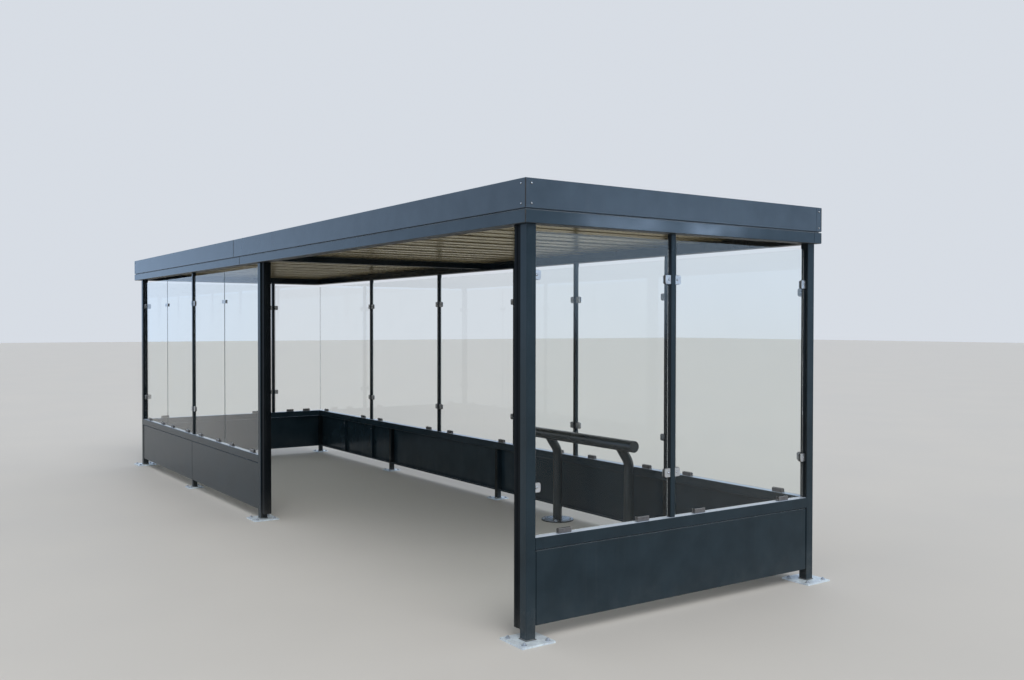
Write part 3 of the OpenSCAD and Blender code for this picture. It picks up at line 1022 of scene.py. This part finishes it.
@dataclass(frozen=True)
class Perch:
    """The perch rail on its two bent legs."""

    lean_deg: float = 35.0
    bend_r: float = 130 * MM
    bend_steps: int = 12
    cap_in: float = 7 * MM
    cap_rise: float = 0.35 * MM
    groove: float = 1.2 * MM
    edge_round: float = 3 * MM
    rail_sides: int = 72
    leg_sides: int = 48

    @cached_property
    def tube(self) -> Block:
        """The CAD tube's block."""
        return solids_of("perch_tube")[0]

    def rail(self) -> Object:
        """Models the tube with rounded ends and set-in caps.

        Returns:
            The tube.
        """
        radius, half = self.tube.size.y / 2, self.tube.size.x / 2
        piece = Workpiece.rod("perch_rail", radius, half * 2, self.rail_sides, UP * -half)
        piece.round_edges(
            self.edge_round, 4, lambda a, b: abs(a.z - b.z) < MM and abs(a.z) > half - MM
        )
        with piece.shaping():
            for end in (-1, 1):
                piece.pick_faces(lambda c, n, e=end: n.z * e > 0.9 and c.z * e > half - 0.1 * MM)
                for across, rise in (
                    (self.cap_in - self.edge_round, 0.0),
                    (self.groove / 2, -self.groove),
                    (self.groove / 2, self.groove),
                    (radius / 4, self.cap_rise),
                ):
                    bpy.ops.mesh.inset(thickness=across, depth=rise)
        rail = piece.finished(40.0)
        rail.data.transform(Matrix.Translation(self.tube.centre) @ turn(90, "Y"))
        return rail

    def leg(self) -> Object:
        """Models one leg at local X 0: straight up, a bend, then a lean into the tube.

        Returns:
            The leg.
        """
        foot, tube = solids_of("perch_feet")[0], self.tube.centre
        radius = solids_of("perch_leg_pair")[0].size.x / 2
        lean, leg_y = math.radians(self.lean_deg), foot.centre.y
        knee_run = self.bend_r * math.tan(lean / 2)
        start_z = tube.z - (leg_y - tube.y) / math.tan(lean) - knee_run
        base = Vector((0, leg_y, foot.high.z))
        piece = Workpiece.rod("perch_leg", radius, start_z - base.z, self.leg_sides, base)
        rest = (leg_y - tube.y) / math.sin(lean) - knee_run
        along = Vector((0, -math.sin(lean), math.cos(lean))) * rest
        with piece.shaping():
            piece.pick_top()
            bpy.ops.mesh.spin(
                steps=self.bend_steps,
                angle=lean,
                center=(0.0, leg_y - self.bend_r, start_z),
                axis=(-1.0, 0.0, 0.0),
            )
            bpy.ops.mesh.extrude_region_move(TRANSFORM_OT_translate={"value": along})
        return piece.finished(40.0)

    def build(self) -> None:
        """Builds the perch over its CAD nodes."""
        fitted(self.rail(), Finish.PERCH, "perch", "perch_tube")
        places = [shift(b.centre.x, 0, 0) for b in solids_of("perch_leg_pair")]
        legs = copied("perch_legs", self.leg(), places)
        fitted(legs, Finish.PERCH, "perch", "perch_leg_pair")


@dataclass(frozen=True)
class Anchors:
    """Ground anchors: a stud with a washer and a nut in each plate hole."""

    stud_r: float = 6 * MM
    stud_foot: float = 6 * MM
    stud_sides: int = 16
    thread_r: float = 5.2 * MM
    thread_pitch: float = 1.75 * MM
    threads: int = 2
    washer_r: float = 14.5 * MM
    washer_t: float = 2.4 * MM
    washer_rim: float = 0.6 * MM
    washer_sides: int = 28
    nut_across: float = 18.5 * MM
    nut_h: float = 7 * MM
    tip: float = 1.4 * MM
    nut_top: float = 0.84
    stud_top: float = 0.72
    leg_pitch: float = 106 * MM
    twist_deg: float = 37.0

    def anchor(self) -> Object:
        """Models one anchor that stands on a plate at the origin.

        Returns:
            The anchor.
        """
        washer = Workpiece.rod("washer", self.washer_r, self.washer_t, self.washer_sides)
        washer.round_edges(self.washer_rim, 2, lambda a, b: min(a.z, b.z) > self.washer_t * 0.9)
        nut_r = self.nut_across / 2 / math.cos(math.radians(30))
        nut = Workpiece.rod("nut", nut_r, self.nut_h - self.tip, 6, UP * self.washer_t)
        nut.step_up((self.tip, self.nut_top))
        length = self.stud_foot + self.washer_t + self.nut_h
        stud = Workpiece.rod("stud", self.stud_r, length, self.stud_sides, UP * -self.stud_foot)
        waist = self.thread_r / self.stud_r
        thread = [(self.thread_pitch / 2, waist), (self.thread_pitch / 2, 1 / waist)]
        stud.step_up(*thread * self.threads, (self.tip, self.stud_top))
        return joined("anchor", [washer.finished(), nut.finished(), stud.finished(25.0)])

    def build(self) -> None:
        """Stands the anchors in every plate."""
        pitch = mount_size("front_right_plate_bolts", "spacing_x_mm")
        ring = mount_size("perch_foot_bolts", "pcd_mm")
        for node, half in (
            ("base_plates", pitch / 2),
            ("leg_plates", self.leg_pitch / 2),
            ("perch_feet", ring / 2 / math.sqrt(2)),
        ):
            points = [
                block.top + Vector((sx * half, sy * half, 0))
                for block in solids_of(node) for sx in (-1, 1) for sy in (-1, 1)
            ]
            places = [shift(*p) @ turn(self.twist_deg * i) for i, p in enumerate(points)]
            fitted(copied("anchors_" + node, self.anchor(), places), Finish.BOLTS, "zinc")


@dataclass(frozen=True)
class FootWelds:
    """The weld fillets where posts, legs and the perch meet their plates."""

    leg: float = 5 * MM
    round_sides: int = 48

    def square(self, width: float) -> Object:
        """Models the fillet round a square tube at the origin.

        Args:
            width: The tube's width.

        Returns:
            The fillet.
        """
        waist, half = width + self.leg, width / 2 + self.leg
        piece = Workpiece.block("weld", (-half, -half, 0.0), (half, half, self.leg * 0.3))
        piece.round_edges(self.leg, 3, lambda a, b: abs(a.z - b.z) > self.leg * 0.2)
        piece.step_up((self.leg * 0.35, waist / 2 / half), (self.leg * 0.5, (width - MM) / waist))
        return piece.finished(50.0)

    def round(self, width: float) -> Object:
        """Models the fillet round a round tube at the origin.

        Args:
            width: The tube's width.

        Returns:
            The fillet.
        """
        radius, leg = width / 2, self.leg
        piece = Workpiece.rod("weld", radius + leg, leg * 0.3, self.round_sides)
        shares = (radius + leg * 0.4) / (radius + leg), radius / (radius + leg * 0.5)
        piece.step_up((leg * 0.35, shares[0]), (leg * 0.6, shares[1]))
        return piece.finished(50.0)

    def build(self) -> None:
        """Runs a fillet round every foot."""
        for name, node, tube, weld, finish in (
            ("post_foot_welds", "base_plates", "post_front_right", self.square, Finish.POST),
            ("leg_foot_welds", "leg_plates", "wall_legs", self.square, Finish.POST),
            ("perch_foot_welds", "perch_feet", "perch_leg_pair", self.round, Finish.PERCH),
        ):
            places = [shift(*block.top) for block in solids_of(node)]
            welds = copied(name, weld(solids_of(tube)[0].size.x), places)
            fitted(welds, finish, finish.name.lower())


@dataclass(frozen=True)
class ClampKit:
    """Screws, rubber lips and dark rings of the glass clamps; the dark rings round the screw heads are
    painted shade.
    """

    screw: Turned = Turned(
        "button_screw", radius=5.5 * MM, height=1.4 * MM, sides=14, base=-0.4 * MM,
        steps=((0.9 * MM, 0.86), (0.6 * MM, 0.66)),
    )
    socket_rim: float = 0.7 * MM
    socket_deep: float = 1.2 * MM
    # A thin dark ring under each screw head, as painted shade round the head.
    ring: Turned = Turned(
        "screw_shade_ring", radius=7 * MM, height=0.7 * MM, sides=14, base=-0.3 * MM,
        steps=((0.2 * MM, 0.94),),
    )
    in_line: float = 20 * MM
    screw_in: float = 15 * MM
    joint_screw: float = 28 * MM
    glass_t: float = 8 * MM
    lip_t: float = 1.2 * MM
    lip_out: float = 1.6 * MM
    lip_rim: float = 0.5 * MM
    lip_crown: float = 0.3 * MM
    slot_start: float = 14 * MM
    corner: float = 10 * MM

    @cached_property
    def uprights(self) -> list[Vector]:
        """The middles of every post and glass post."""
        nodes = [n for n in frame["nodes"] if n.startswith(("post_", "mullion"))]
        return [block.centre for node in nodes for block in solids_of(node)]

    def stations(self, wall: Wall) -> tuple[list[Matrix], list[Matrix], Block]:
        """Finds the clamps of a wall.

        Args:
            wall: The wall.

        Returns:
            The places of the post clamps at their upright's face, those of the joint clamps
            at their middle, each with local X along the wall and local Z up, and one post
            clamp's block.
        """
        across = wall.facing.value
        along = 1 - across
        quarter = 90.0 * along
        posts, joints, sample = [], [], None
        for block in solids_of("clamps_" + wall.value):
            if block.size[along] > block.size.z:
                joints.append(shift(*block.centre) @ turn(quarter))
                continue
            sample, face = block, block.centre
            mates = [u for u in self.uprights if abs(u[across] - face[across]) < self.in_line]
            near = min(mates, key=lambda u: abs(u[along] - face[along]))
            away = face[along] > near[along]
            face[along] = (block.low if away else block.high)[along]
            posts.append(shift(*face) @ turn(quarter + (0.0 if away else 180.0)))
        return posts, joints, sample

    def socket_screw(self) -> Object:
        """Models one button screw with the socket in its head, which looks along local +Z.

        Returns:
            The screw.
        """
        piece = self.screw.start()
        deeper = UP * -self.socket_deep
        with piece.shaping():
            piece.pick_top()
            bpy.ops.mesh.inset(thickness=self.socket_rim)
            bpy.ops.mesh.extrude_region_move(TRANSFORM_OT_translate={"value": deeper})
        return piece.finished(40.0)

    def lip(self, block: Block) -> Object:
        """Models the rubber lip under one jaw of a post clamp, on the glass at local Y 0.

        Args:
            block: A post clamp's block.

        Returns:
            The lip, which stands from local Y 0 to its thickness.
        """
        half = block.size.z / 2 + self.lip_out
        start, end = self.slot_start - self.lip_out, max(block.size.xy) + self.lip_out
        piece = Workpiece.block("clamp_lip", (start, 0.0, -half), (end, self.lip_t, half))
        thick = self.lip_t / 2
        piece.round_edges(
            self.corner, 5, lambda a, b: min(a.x, b.x) > end - 0.1 * MM and abs(a.y - b.y) > thick
        )
        with piece.shaping():
            piece.pick_faces(lambda c, n: n.y > 0.9)
            bpy.ops.mesh.inset(thickness=self.lip_rim)
            bpy.ops.transform.translate(value=(0.0, self.lip_crown, 0.0))
        return piece.finished()

    def build(self) -> None:
        """Fits screws and lips to the clamps of every wall."""
        for wall in Wall:
            posts, joints, sample = self.stations(wall)
            out = shift(0, min(sample.size.xy) / 2, 0) @ turn(-90, "X")
            spots = [place @ shift(self.screw_in, 0, 0) for place in posts]
            steps = (-self.joint_screw, self.joint_screw)
            spots += [place @ shift(x, 0, 0) for place in joints for x in steps]
            heads = [spot @ turn(side) @ out for spot in spots for side in (0, 180)]
            lift = shift(0, self.glass_t / 2, 0)
            lips = [place @ turn(side, "X") @ lift for place in posts for side in (0, 180)]
            for name, master, finish, places in (
                ("clamp_screws_", self.socket_screw(), Finish.SCREW, heads),
                # The dark rings are painted shade round the screw heads.
                ("clamp_shade_rings_", self.ring.start().finished(40.0), Finish.RUBBER, heads),
                ("clamp_lips_", self.lip(sample), Finish.RUBBER, lips),
            ):
                fitted(copied(name + wall.value, master, places), finish, "clamp")


@dataclass(frozen=True)
class ShoeSeals:
    """Rubber strips between the shoes' cheeks and the glass."""

    glass_t: float = 8 * MM
    strip_t: float = 2.2 * MM
    rise: float = 2.0 * MM
    depth: float = 5.0 * MM
    edge: float = 1.2 * MM
    end_gap: float = 0.5 * MM

    def strip(self, length: float) -> Object:
        """Models the strip on one side of the glass, with its foot in the shoe.

        Args:
            length: The shoe's length.

        Returns:
            The strip along local X, its glass side at local Y 0 and the shoe's top at local Z 0.
        """
        half, high, thick = length / 2 - self.end_gap, self.rise, self.strip_t
        piece = Workpiece.block("shoe_strip", (-half, 0.0, -self.depth), (half, thick, high))
        piece.round_edges(
            self.edge, 3, lambda a, b: min(a.z, b.z) > high * 0.9 and min(a.y, b.y) > thick * 0.9
        )
        return piece.finished()

    def build(self) -> None:
        """Lays the strips in every shoe."""
        shoes = solids_of("rail_shoes")
        lift = shift(0, self.glass_t / 2, 0)
        places = [
            shift(*shoe.top) @ turn(side + (90.0 if shoe.size.y > shoe.size.x else 0.0)) @ lift
            for shoe in shoes for side in (0.0, 180.0)
        ]
        strips = copied("shoe_strips", self.strip(max(shoes[0].size.xy)), places)
        fitted(strips, Finish.RUBBER, "clamp")


@dataclass(frozen=True)
class FasciaRivets:
    """Rivets with sealing washers at the fascia's corners and laps."""

    rivet: Turned = Turned(
        "rivet", radius=4.6 * MM, height=1.2 * MM, sides=20,
        steps=((0.8 * MM, 0.82), (0.4 * MM, 0.55)),
    )
    collar: Turned = Turned("rivet_collar", radius=7.4 * MM, height=0.9 * MM, sides=24)
    collar_rim: float = 0.4 * MM
    lift: float = 0.6 * MM
    corner_in: float = 39 * MM
    lap_in: float = 24 * MM
    heights: tuple[float, float] = (2.270, 2.374)

    def places(self) -> list[Matrix]:
        """Works out where the rivets sit, with local Z out of the fascia.

        Returns:
            Their places.
        """
        low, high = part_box("fascia_front")[0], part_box("fascia_back")[1]
        found = []
        for z in self.heights:
            for x in (low.x + self.corner_in, high.x - self.corner_in):
                found.append(shift(x, low.y, z) @ turn(90, "X"))
                found.append(shift(x, high.y, z) @ turn(-90, "X"))
            for y in (low.y + self.corner_in, high.y - self.lap_in):
                found.append(shift(high.x, y, z) @ turn(90, "Y"))
        return found

    def build(self) -> None:
        """Sets the rivets and their washers."""
        places = self.places()
        raised = [place @ shift(0, 0, self.lift) for place in places]
        rivets = copied("fascia_rivets", self.rivet.start().finished(60.0), raised)
        fitted(rivets, Finish.SCREW, "clamp")
        rim = self.collar.height * 0.9
        collar = self.collar.start().round_edges(
            self.collar_rim, 2, lambda a, b: min(a.z, b.z) > rim
        )
        collars = copied("fascia_rivet_washers", collar.finished(60.0), places)
        fitted(collars, Finish.RUBBER, "fascia")


@dataclass(frozen=True)
class RoofScrews:
    """Sheet screws with washers along the deck's crowns."""

    rows: int = 5
    edge_in: float = 60 * MM
    row_twist_deg: float = 11.0
    crown_twist_deg: float = 7.0
    washer: Turned = Turned(
        "sheet_washer", radius=8 * MM, height=1.2 * MM, sides=12, base=-0.3 * MM,
        steps=((0.9 * MM, 0.7),),
    )
    head: Turned = Turned(
        "sheet_screw", radius=4.6 * MM, height=3.6 * MM, sides=6, base=1.6 * MM,
        steps=((0.8 * MM, 0.8),),
    )

    def build(self) -> None:
        """Drives the screws along each crown."""
        low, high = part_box("roof_deck")
        corners = [v.co for v in frame["nodes"]["roof_deck"].data.vertices]
        edges = sorted({round(c.x, 4) for c in corners if c.z > high.z - 0.1 * MM})
        crowns = [(a + b) / 2 for a, b in zip(edges[::2], edges[1::2])]
        step = (high.y - low.y - 2 * self.edge_in) / (self.rows - 1)
        places = [
            shift(x, low.y + self.edge_in + row * step, high.z)
            @ turn(self.row_twist_deg * row + self.crown_twist_deg * i)
            for i, x in enumerate(crowns)
            for row in range(self.rows)
        ]
        parts = [part.start().finished() for part in (self.washer, self.head)]
        fitted(copied("roof_screws", joined("roof_screw", parts), places), Finish.BOLTS, "zinc")


@dataclass(frozen=True)
class RibScrews:
    """Two dome screws in each rib behind the low walls."""

    screw: Turned = Turned(
        "dome_screw", radius=6 * MM, height=1.3 * MM, sides=16, base=-0.3 * MM,
        steps=((1.3 * MM, 0.8), (0.6 * MM, 0.5)),
    )
    heights: tuple[float, float] = (0.15, 0.43)

    def build(self) -> None:
        """Drives the screws, with their heads inside the shelter."""
        places = []
        for rib in solids_of("panel_ribs"):
            across = 1 if rib.size.x > rib.size.y else 0
            sign = 1 if rib.centre[across] < 0 else -1
            tip = turn(-90 * sign, "X") if across else turn(90 * sign, "Y")
            point = rib.centre
            point[across] = (rib.high if sign > 0 else rib.low)[across]
            places += [shift(point.x, point.y, z) @ tip for z in self.heights]
        screws = copied("rib_screws", self.screw.start().finished(60.0), places)
        fitted(screws, Finish.SCREW, "clamp")


@dataclass(frozen=True)
class CeilingStrips:
    """Dark strips under the ceiling, in every second groove between the boards; their dark colour is
    painted shade in those grooves.
    """

    pitch: float = Finish.DECK.value.board
    every: int = 4
    first_thick: int = 2
    thin: tuple[float, float] = (8 * MM, 3.5 * MM)
    thick: tuple[float, float] = (14 * MM, 6 * MM)
    bite: float = 1 * MM
    edge: float = 1.2 * MM
    end_gap: float = 1 * MM
    side_gap: float = 4 * MM

    def strip(self, width: float, drop: float, length: float) -> Object:
        """Models one strip that hangs from the ceiling at the origin.

        Args:
            width: Its width.
            drop: How far it stands down.
            length: Its length along Y.

        Returns:
            The strip.
        """
        half = Vector((width / 2, length / 2, 0))
        piece = Workpiece.block("ceiling_strip", UP * -drop - half, UP * self.bite + half)
        piece.round_edges(
            self.edge, 2, lambda a, b: max(a.z, b.z) < -drop * 0.9 and abs(a.y - b.y) > width
        )
        return piece.finished()

    def build(self) -> None:
        """Presses the strips into the grooves, clear of the beams."""
        low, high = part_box("roof_deck")
        (_, front), (back, _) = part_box("edge_beam_front"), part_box("edge_beam_back")
        beams = [(b.low.x, b.high.x) for b in solids_of("cross_beams")]
        beams += [(low.x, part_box("edge_beam_left")[1].x), (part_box("edge_beam_right")[0].x, high.x)]
        for name, (width, drop), first in (
            ("thin", self.thin, 0),
            ("thick", self.thick, self.first_thick),
        ):
            gap = width / 2 + self.side_gap
            count = round((high.x - low.x) / self.pitch)
            tracks = [low.x + (i + 0.5) * self.pitch for i in range(first, count, self.every)]
            clear = [x for x in tracks if all(x < a - gap or x > b + gap for a, b in beams)]
            places = [shift(x, (front.y + back.y) / 2, front.z) for x in clear]
            master = self.strip(width, drop, back.y - front.y - 2 * self.end_gap)
            # The strips' colour is painted shade in the grooves.
            fitted(copied("ceiling_strips_" + name, master, places), Finish.STRIP, "deck")


@dataclass(frozen=True)
class JointSeals:
    """Dark seals in the front's butt joints and down the roof's corners at the +X end; in the low
    wall's joints the dark seals stand for the shade of the folded panel edges.
    """

    width: float = 9 * MM
    proud: float = 0.8 * MM
    depth: float = 3 * MM
    inset: float = 3 * MM
    fascia_foot: float = 10 * MM
    corner_leg: float = 4 * MM
    joint_edge: float = 0.5 * MM
    corner_edge: float = 0.6 * MM

    def seal(self, low: Triple, high: Triple, edge: float, behind: float = math.inf) -> Object:
        """Models one upright seal.

        Args:
            low: One of its lower corners.
            high: The upper corner across from it.
            edge: How far its upright edges are rounded.
            behind: The Y from which they stay sharp.

        Returns:
            The seal.
        """
        tall = (high[2] - low[2]) / 2
        piece = Workpiece.block("seal", low, high)
        piece.round_edges(edge, 2, lambda a, b: abs(a.z - b.z) > tall and max(a.y, b.y) < behind)
        return piece.finished()

    def build(self) -> None:
        """Fills every joint along the front and every corner at the +X end."""
        seals = []
        half = self.width / 2
        feet = {"fascia_front": self.fascia_foot, "edge_beam_front": self.inset}
        # The seals in the low wall's joints are painted shade of the folded panel edges.
        for node, foot in (feet | {"panels_front": self.inset}).items():
            sheets = sorted(solids_of(node), key=lambda b: b.centre.x)
            for left, right in zip(sheets, sheets[1:]):
                x, y = (left.high.x + right.low.x) / 2, min(left.low.y, right.low.y)
                low = (x - half, y - self.proud, left.low.z + foot)
                high = (x + half, y + self.depth, left.high.z - self.inset)
                seals.append(self.seal(low, high, self.joint_edge, y))
        for node, foot in feet.items():
            (_, y, z), (x, _, top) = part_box(node)
            for side in (1, -1):
                low = (x - self.corner_leg, side * (y + self.corner_leg), z + foot)
                high = (x + self.proud, side * (y - self.proud), top - self.inset)
                seals.append(self.seal(low, high, self.corner_edge))
        fitted(joined("joint_seals", seals), Finish.RUBBER, "fascia")


@dataclass(frozen=True)
class EntranceTrims:
    """Folded cover profiles that lap over the entrance channels' mouths, in dark paint made near-black
    as painted shade.
    """

    reach: float = 26 * MM
    lap: float = 2 * MM
    inner: float = 20 * MM
    back_gap: float = 4 * MM
    edge: float = 2 * MM

    def profile(self, channel: Block, side: int) -> list[Object]:
        """Models the profile on one channel.

        Args:
            channel: The channel's block.
            side: Which way the channel's mouth looks, 1 for +X and -1 for -X.

        Returns:
            The profile's two flanges.
        """
        low, high = channel.low, channel.high
        mouth, back = (high.x, low.x) if side > 0 else (low.x, high.x)
        lapped = mouth - side * self.lap
        parts = []
        for x0, x1, y0 in (
            (lapped, mouth + side * self.reach, low.y - self.lap),
            (back + side * self.back_gap, lapped, high.y),
        ):
            corners = (x0, y0, low.z), (x1, high.y + self.inner, high.z)
            piece = Workpiece.block("trim_part", *corners)
            piece.round_edges(self.edge, 3, lambda a, b: abs(a.z - b.z) > channel.size.z / 2)
            parts.append(piece.finished())
        return parts

    def build(self) -> None:
        """Laps a profile over each channel."""
        channels = sorted(solids_of("entrance_channels"), key=lambda b: b.centre.x)
        parts = self.profile(channels[0], 1) + self.profile(channels[1], -1)
        fitted(joined("entrance_trims", parts), Finish.TRIM, "post")


# The stage


@dataclass(frozen=True)
class SoftBox:
    """A soft patch of light far off, which only glossy surfaces mirror."""

    round_deg: float
    up_deg: float
    half_wide_deg: float
    half_high_deg: float


@dataclass(frozen=True)
class Studio:
    """Plain pale floor, soft light, pale background and the photograph's camera."""

    floor_half: float = 90.0
    floor_colour: Colour = (0.590, 0.568, 0.540)
    background: Colour = (0.68, 0.72, 0.78)
    mirrored: Colour = (0.54, 0.70, 0.95)
    mirrored_low: Colour = (0.70, 0.97, 1.38)
    box_light: float = 14.0
    boxes: tuple[SoftBox, ...] = (SoftBox(40.8, 5.85, 2.4, 0.40), SoftBox(45.8, 5.60, 1.6, 0.35))
    light_colour: Colour = (0.95, 0.98, 1.0)
    sky_light: float = 0.68
    ground_light: float = 0.98
    sun_colour: Colour = (1.0, 0.985, 0.96)
    sun_strength: float = 1.35
    sun_angle_deg: float = 40.0
    sun_tilt_deg: Triple = (40.0, 0.0, 80.0)
    eye: Triple = (8.1331, -4.0419, 1.6454)
    yaw_deg: float = -55.737
    pitch_deg: float = -0.863
    roll_deg: float = 0.075
    sensor_mm: float = 36.0
    lens_mm: float = 34.594

    def floor(self) -> None:
        """Lays the floor under the shelter's feet."""
        deselect()
        bpy.ops.mesh.primitive_plane_add(size=2 * self.floor_half, location=(0, 0, -0.2 * MM))
        floor = bpy.context.active_object
        floor.name = "studio_floor"
        graph = MaterialGraph("studio_floor")
        cloud = graph.spread(graph.noise(graph.place, 0.7, 4.0), 0.3, 0.7)
        darker = tuple(c * 0.96 for c in self.floor_colour)
        graph.shade({
            "Base Color": graph.blend(cloud, darker, self.floor_colour),
            "Roughness": graph.spread(cloud, 0.0, 1.0, 0.62, 0.7),
            "Specular IOR Level": 0.25,
        })
        floor.data.materials.append(graph.material)

    def soft_boxes(self, graph: Graph) -> Socket:
        """Marks where the soft boxes stand in the world.

        Args:
            graph: The world's graph.

        Returns:
            The mask's socket.
        """
        split = graph.add("SeparateXYZ", {0: graph.coords["Generated"]})
        round_up = graph.maths("ARCTAN2", split["Y"], split["X"])
        mask: object = 0.0
        for box in self.boxes:
            across = graph.maths("SUBTRACT", round_up, math.radians(box.round_deg))
            across = graph.maths("DIVIDE", across, math.radians(box.half_wide_deg))
            rise = graph.maths("SUBTRACT", split["Z"], math.sin(math.radians(box.up_deg)))
            rise = graph.maths("DIVIDE", rise, math.radians(box.half_high_deg))
            away = graph.plus(graph.times(across, across), graph.times(rise, rise))
            mask = graph.maths("MAXIMUM", graph.spread(away, 0.3, 1.6, 1.0, 0.0), mask)
        return mask

    def world(self) -> None:
        """Lights the scene from a soft sky, with a pale background where it is seen."""
        world = bpy.data.worlds.new("studio_sky")
        bpy.context.scene.world = world
        world.use_nodes = True
        world.node_tree.nodes.clear()
        graph = Graph(world.node_tree)
        up = graph.part(graph.coords["Generated"], "Z")
        level = graph.spread(up, -0.1, 0.6, self.ground_light, self.sky_light)
        light = graph.add("Background", {0: self.light_colour, 1: level})[0]
        seen = graph.add("Background", {0: self.background, 1: 1.0})[0]
        shade = graph.blend(graph.spread(up, 0.05, 0.15), self.mirrored_low, self.mirrored)
        lamps = graph.times(self.soft_boxes(graph), self.box_light)
        sky = graph.add("Background", {0: shade, 1: graph.plus(lamps, 1.0)})[0]
        path = graph.add("LightPath")
        lit = graph.add("MixShader", {0: path["Is Glossy Ray"], 1: light, 2: sky})[0]
        share = graph.maths("MAXIMUM", path["Is Camera Ray"], path["Is Transmission Ray"])
        mixed = graph.add("MixShader", {0: share, 1: lit, 2: seen})[0]
        graph.add("OutputWorld", {0: mixed})

    def stand(self, name: str, data: bpy.types.ID, place: Matrix) -> Object:
        """Puts a lamp or a camera in the scene.

        Args:
            name: Its name.
            data: The lamp or the camera.
            place: Where it stands, looking along its local -Z.

        Returns:
            The new object.
        """
        obj = bpy.data.objects.new(name, data)
        bpy.context.scene.collection.objects.link(obj)
        obj.matrix_world = place
        return obj

    def sun(self) -> None:
        """Adds one large soft lamp."""
        lamp = bpy.data.lights.new("soft_sun", "SUN")
        lamp.energy = self.sun_strength
        lamp.angle = math.radians(self.sun_angle_deg)
        lamp.color = self.sun_colour
        x, y, z = self.sun_tilt_deg
        self.stand("soft_sun", lamp, turn(z) @ turn(y, "Y") @ turn(x, "X"))

    def camera(self) -> None:
        """Stands the camera where the photograph was taken from."""
        data = bpy.data.cameras.new("photo_camera")
        data.sensor_width = self.sensor_mm
        data.lens = self.lens_mm
        data.clip_end = 500.0
        aim = turn(-self.yaw_deg) @ turn(90.0 + self.pitch_deg, "X") @ turn(self.roll_deg)
        bpy.context.scene.camera = self.stand("photo_camera", data, shift(*self.eye) @ aim)

    def build(self) -> None:
        """Sets the whole stage."""
        self.floor()
        self.world()
        self.sun()
        self.camera()
        bpy.context.scene.view_settings.view_transform = "Standard"


def main() -> None:
    """Builds every piece in order and sets the stage."""
    logging.basicConfig(level=logging.INFO, format="%(message)s")
    for assembly in (
        CadDress(), Perch(), Anchors(), FootWelds(), ClampKit(), ShoeSeals(), FasciaRivets(),
        RoofScrews(), RibScrews(), CeilingStrips(), JointSeals(), EntranceTrims(), Studio(),
    ):
        assembly.build()


if __name__ == "__main__":
    main()
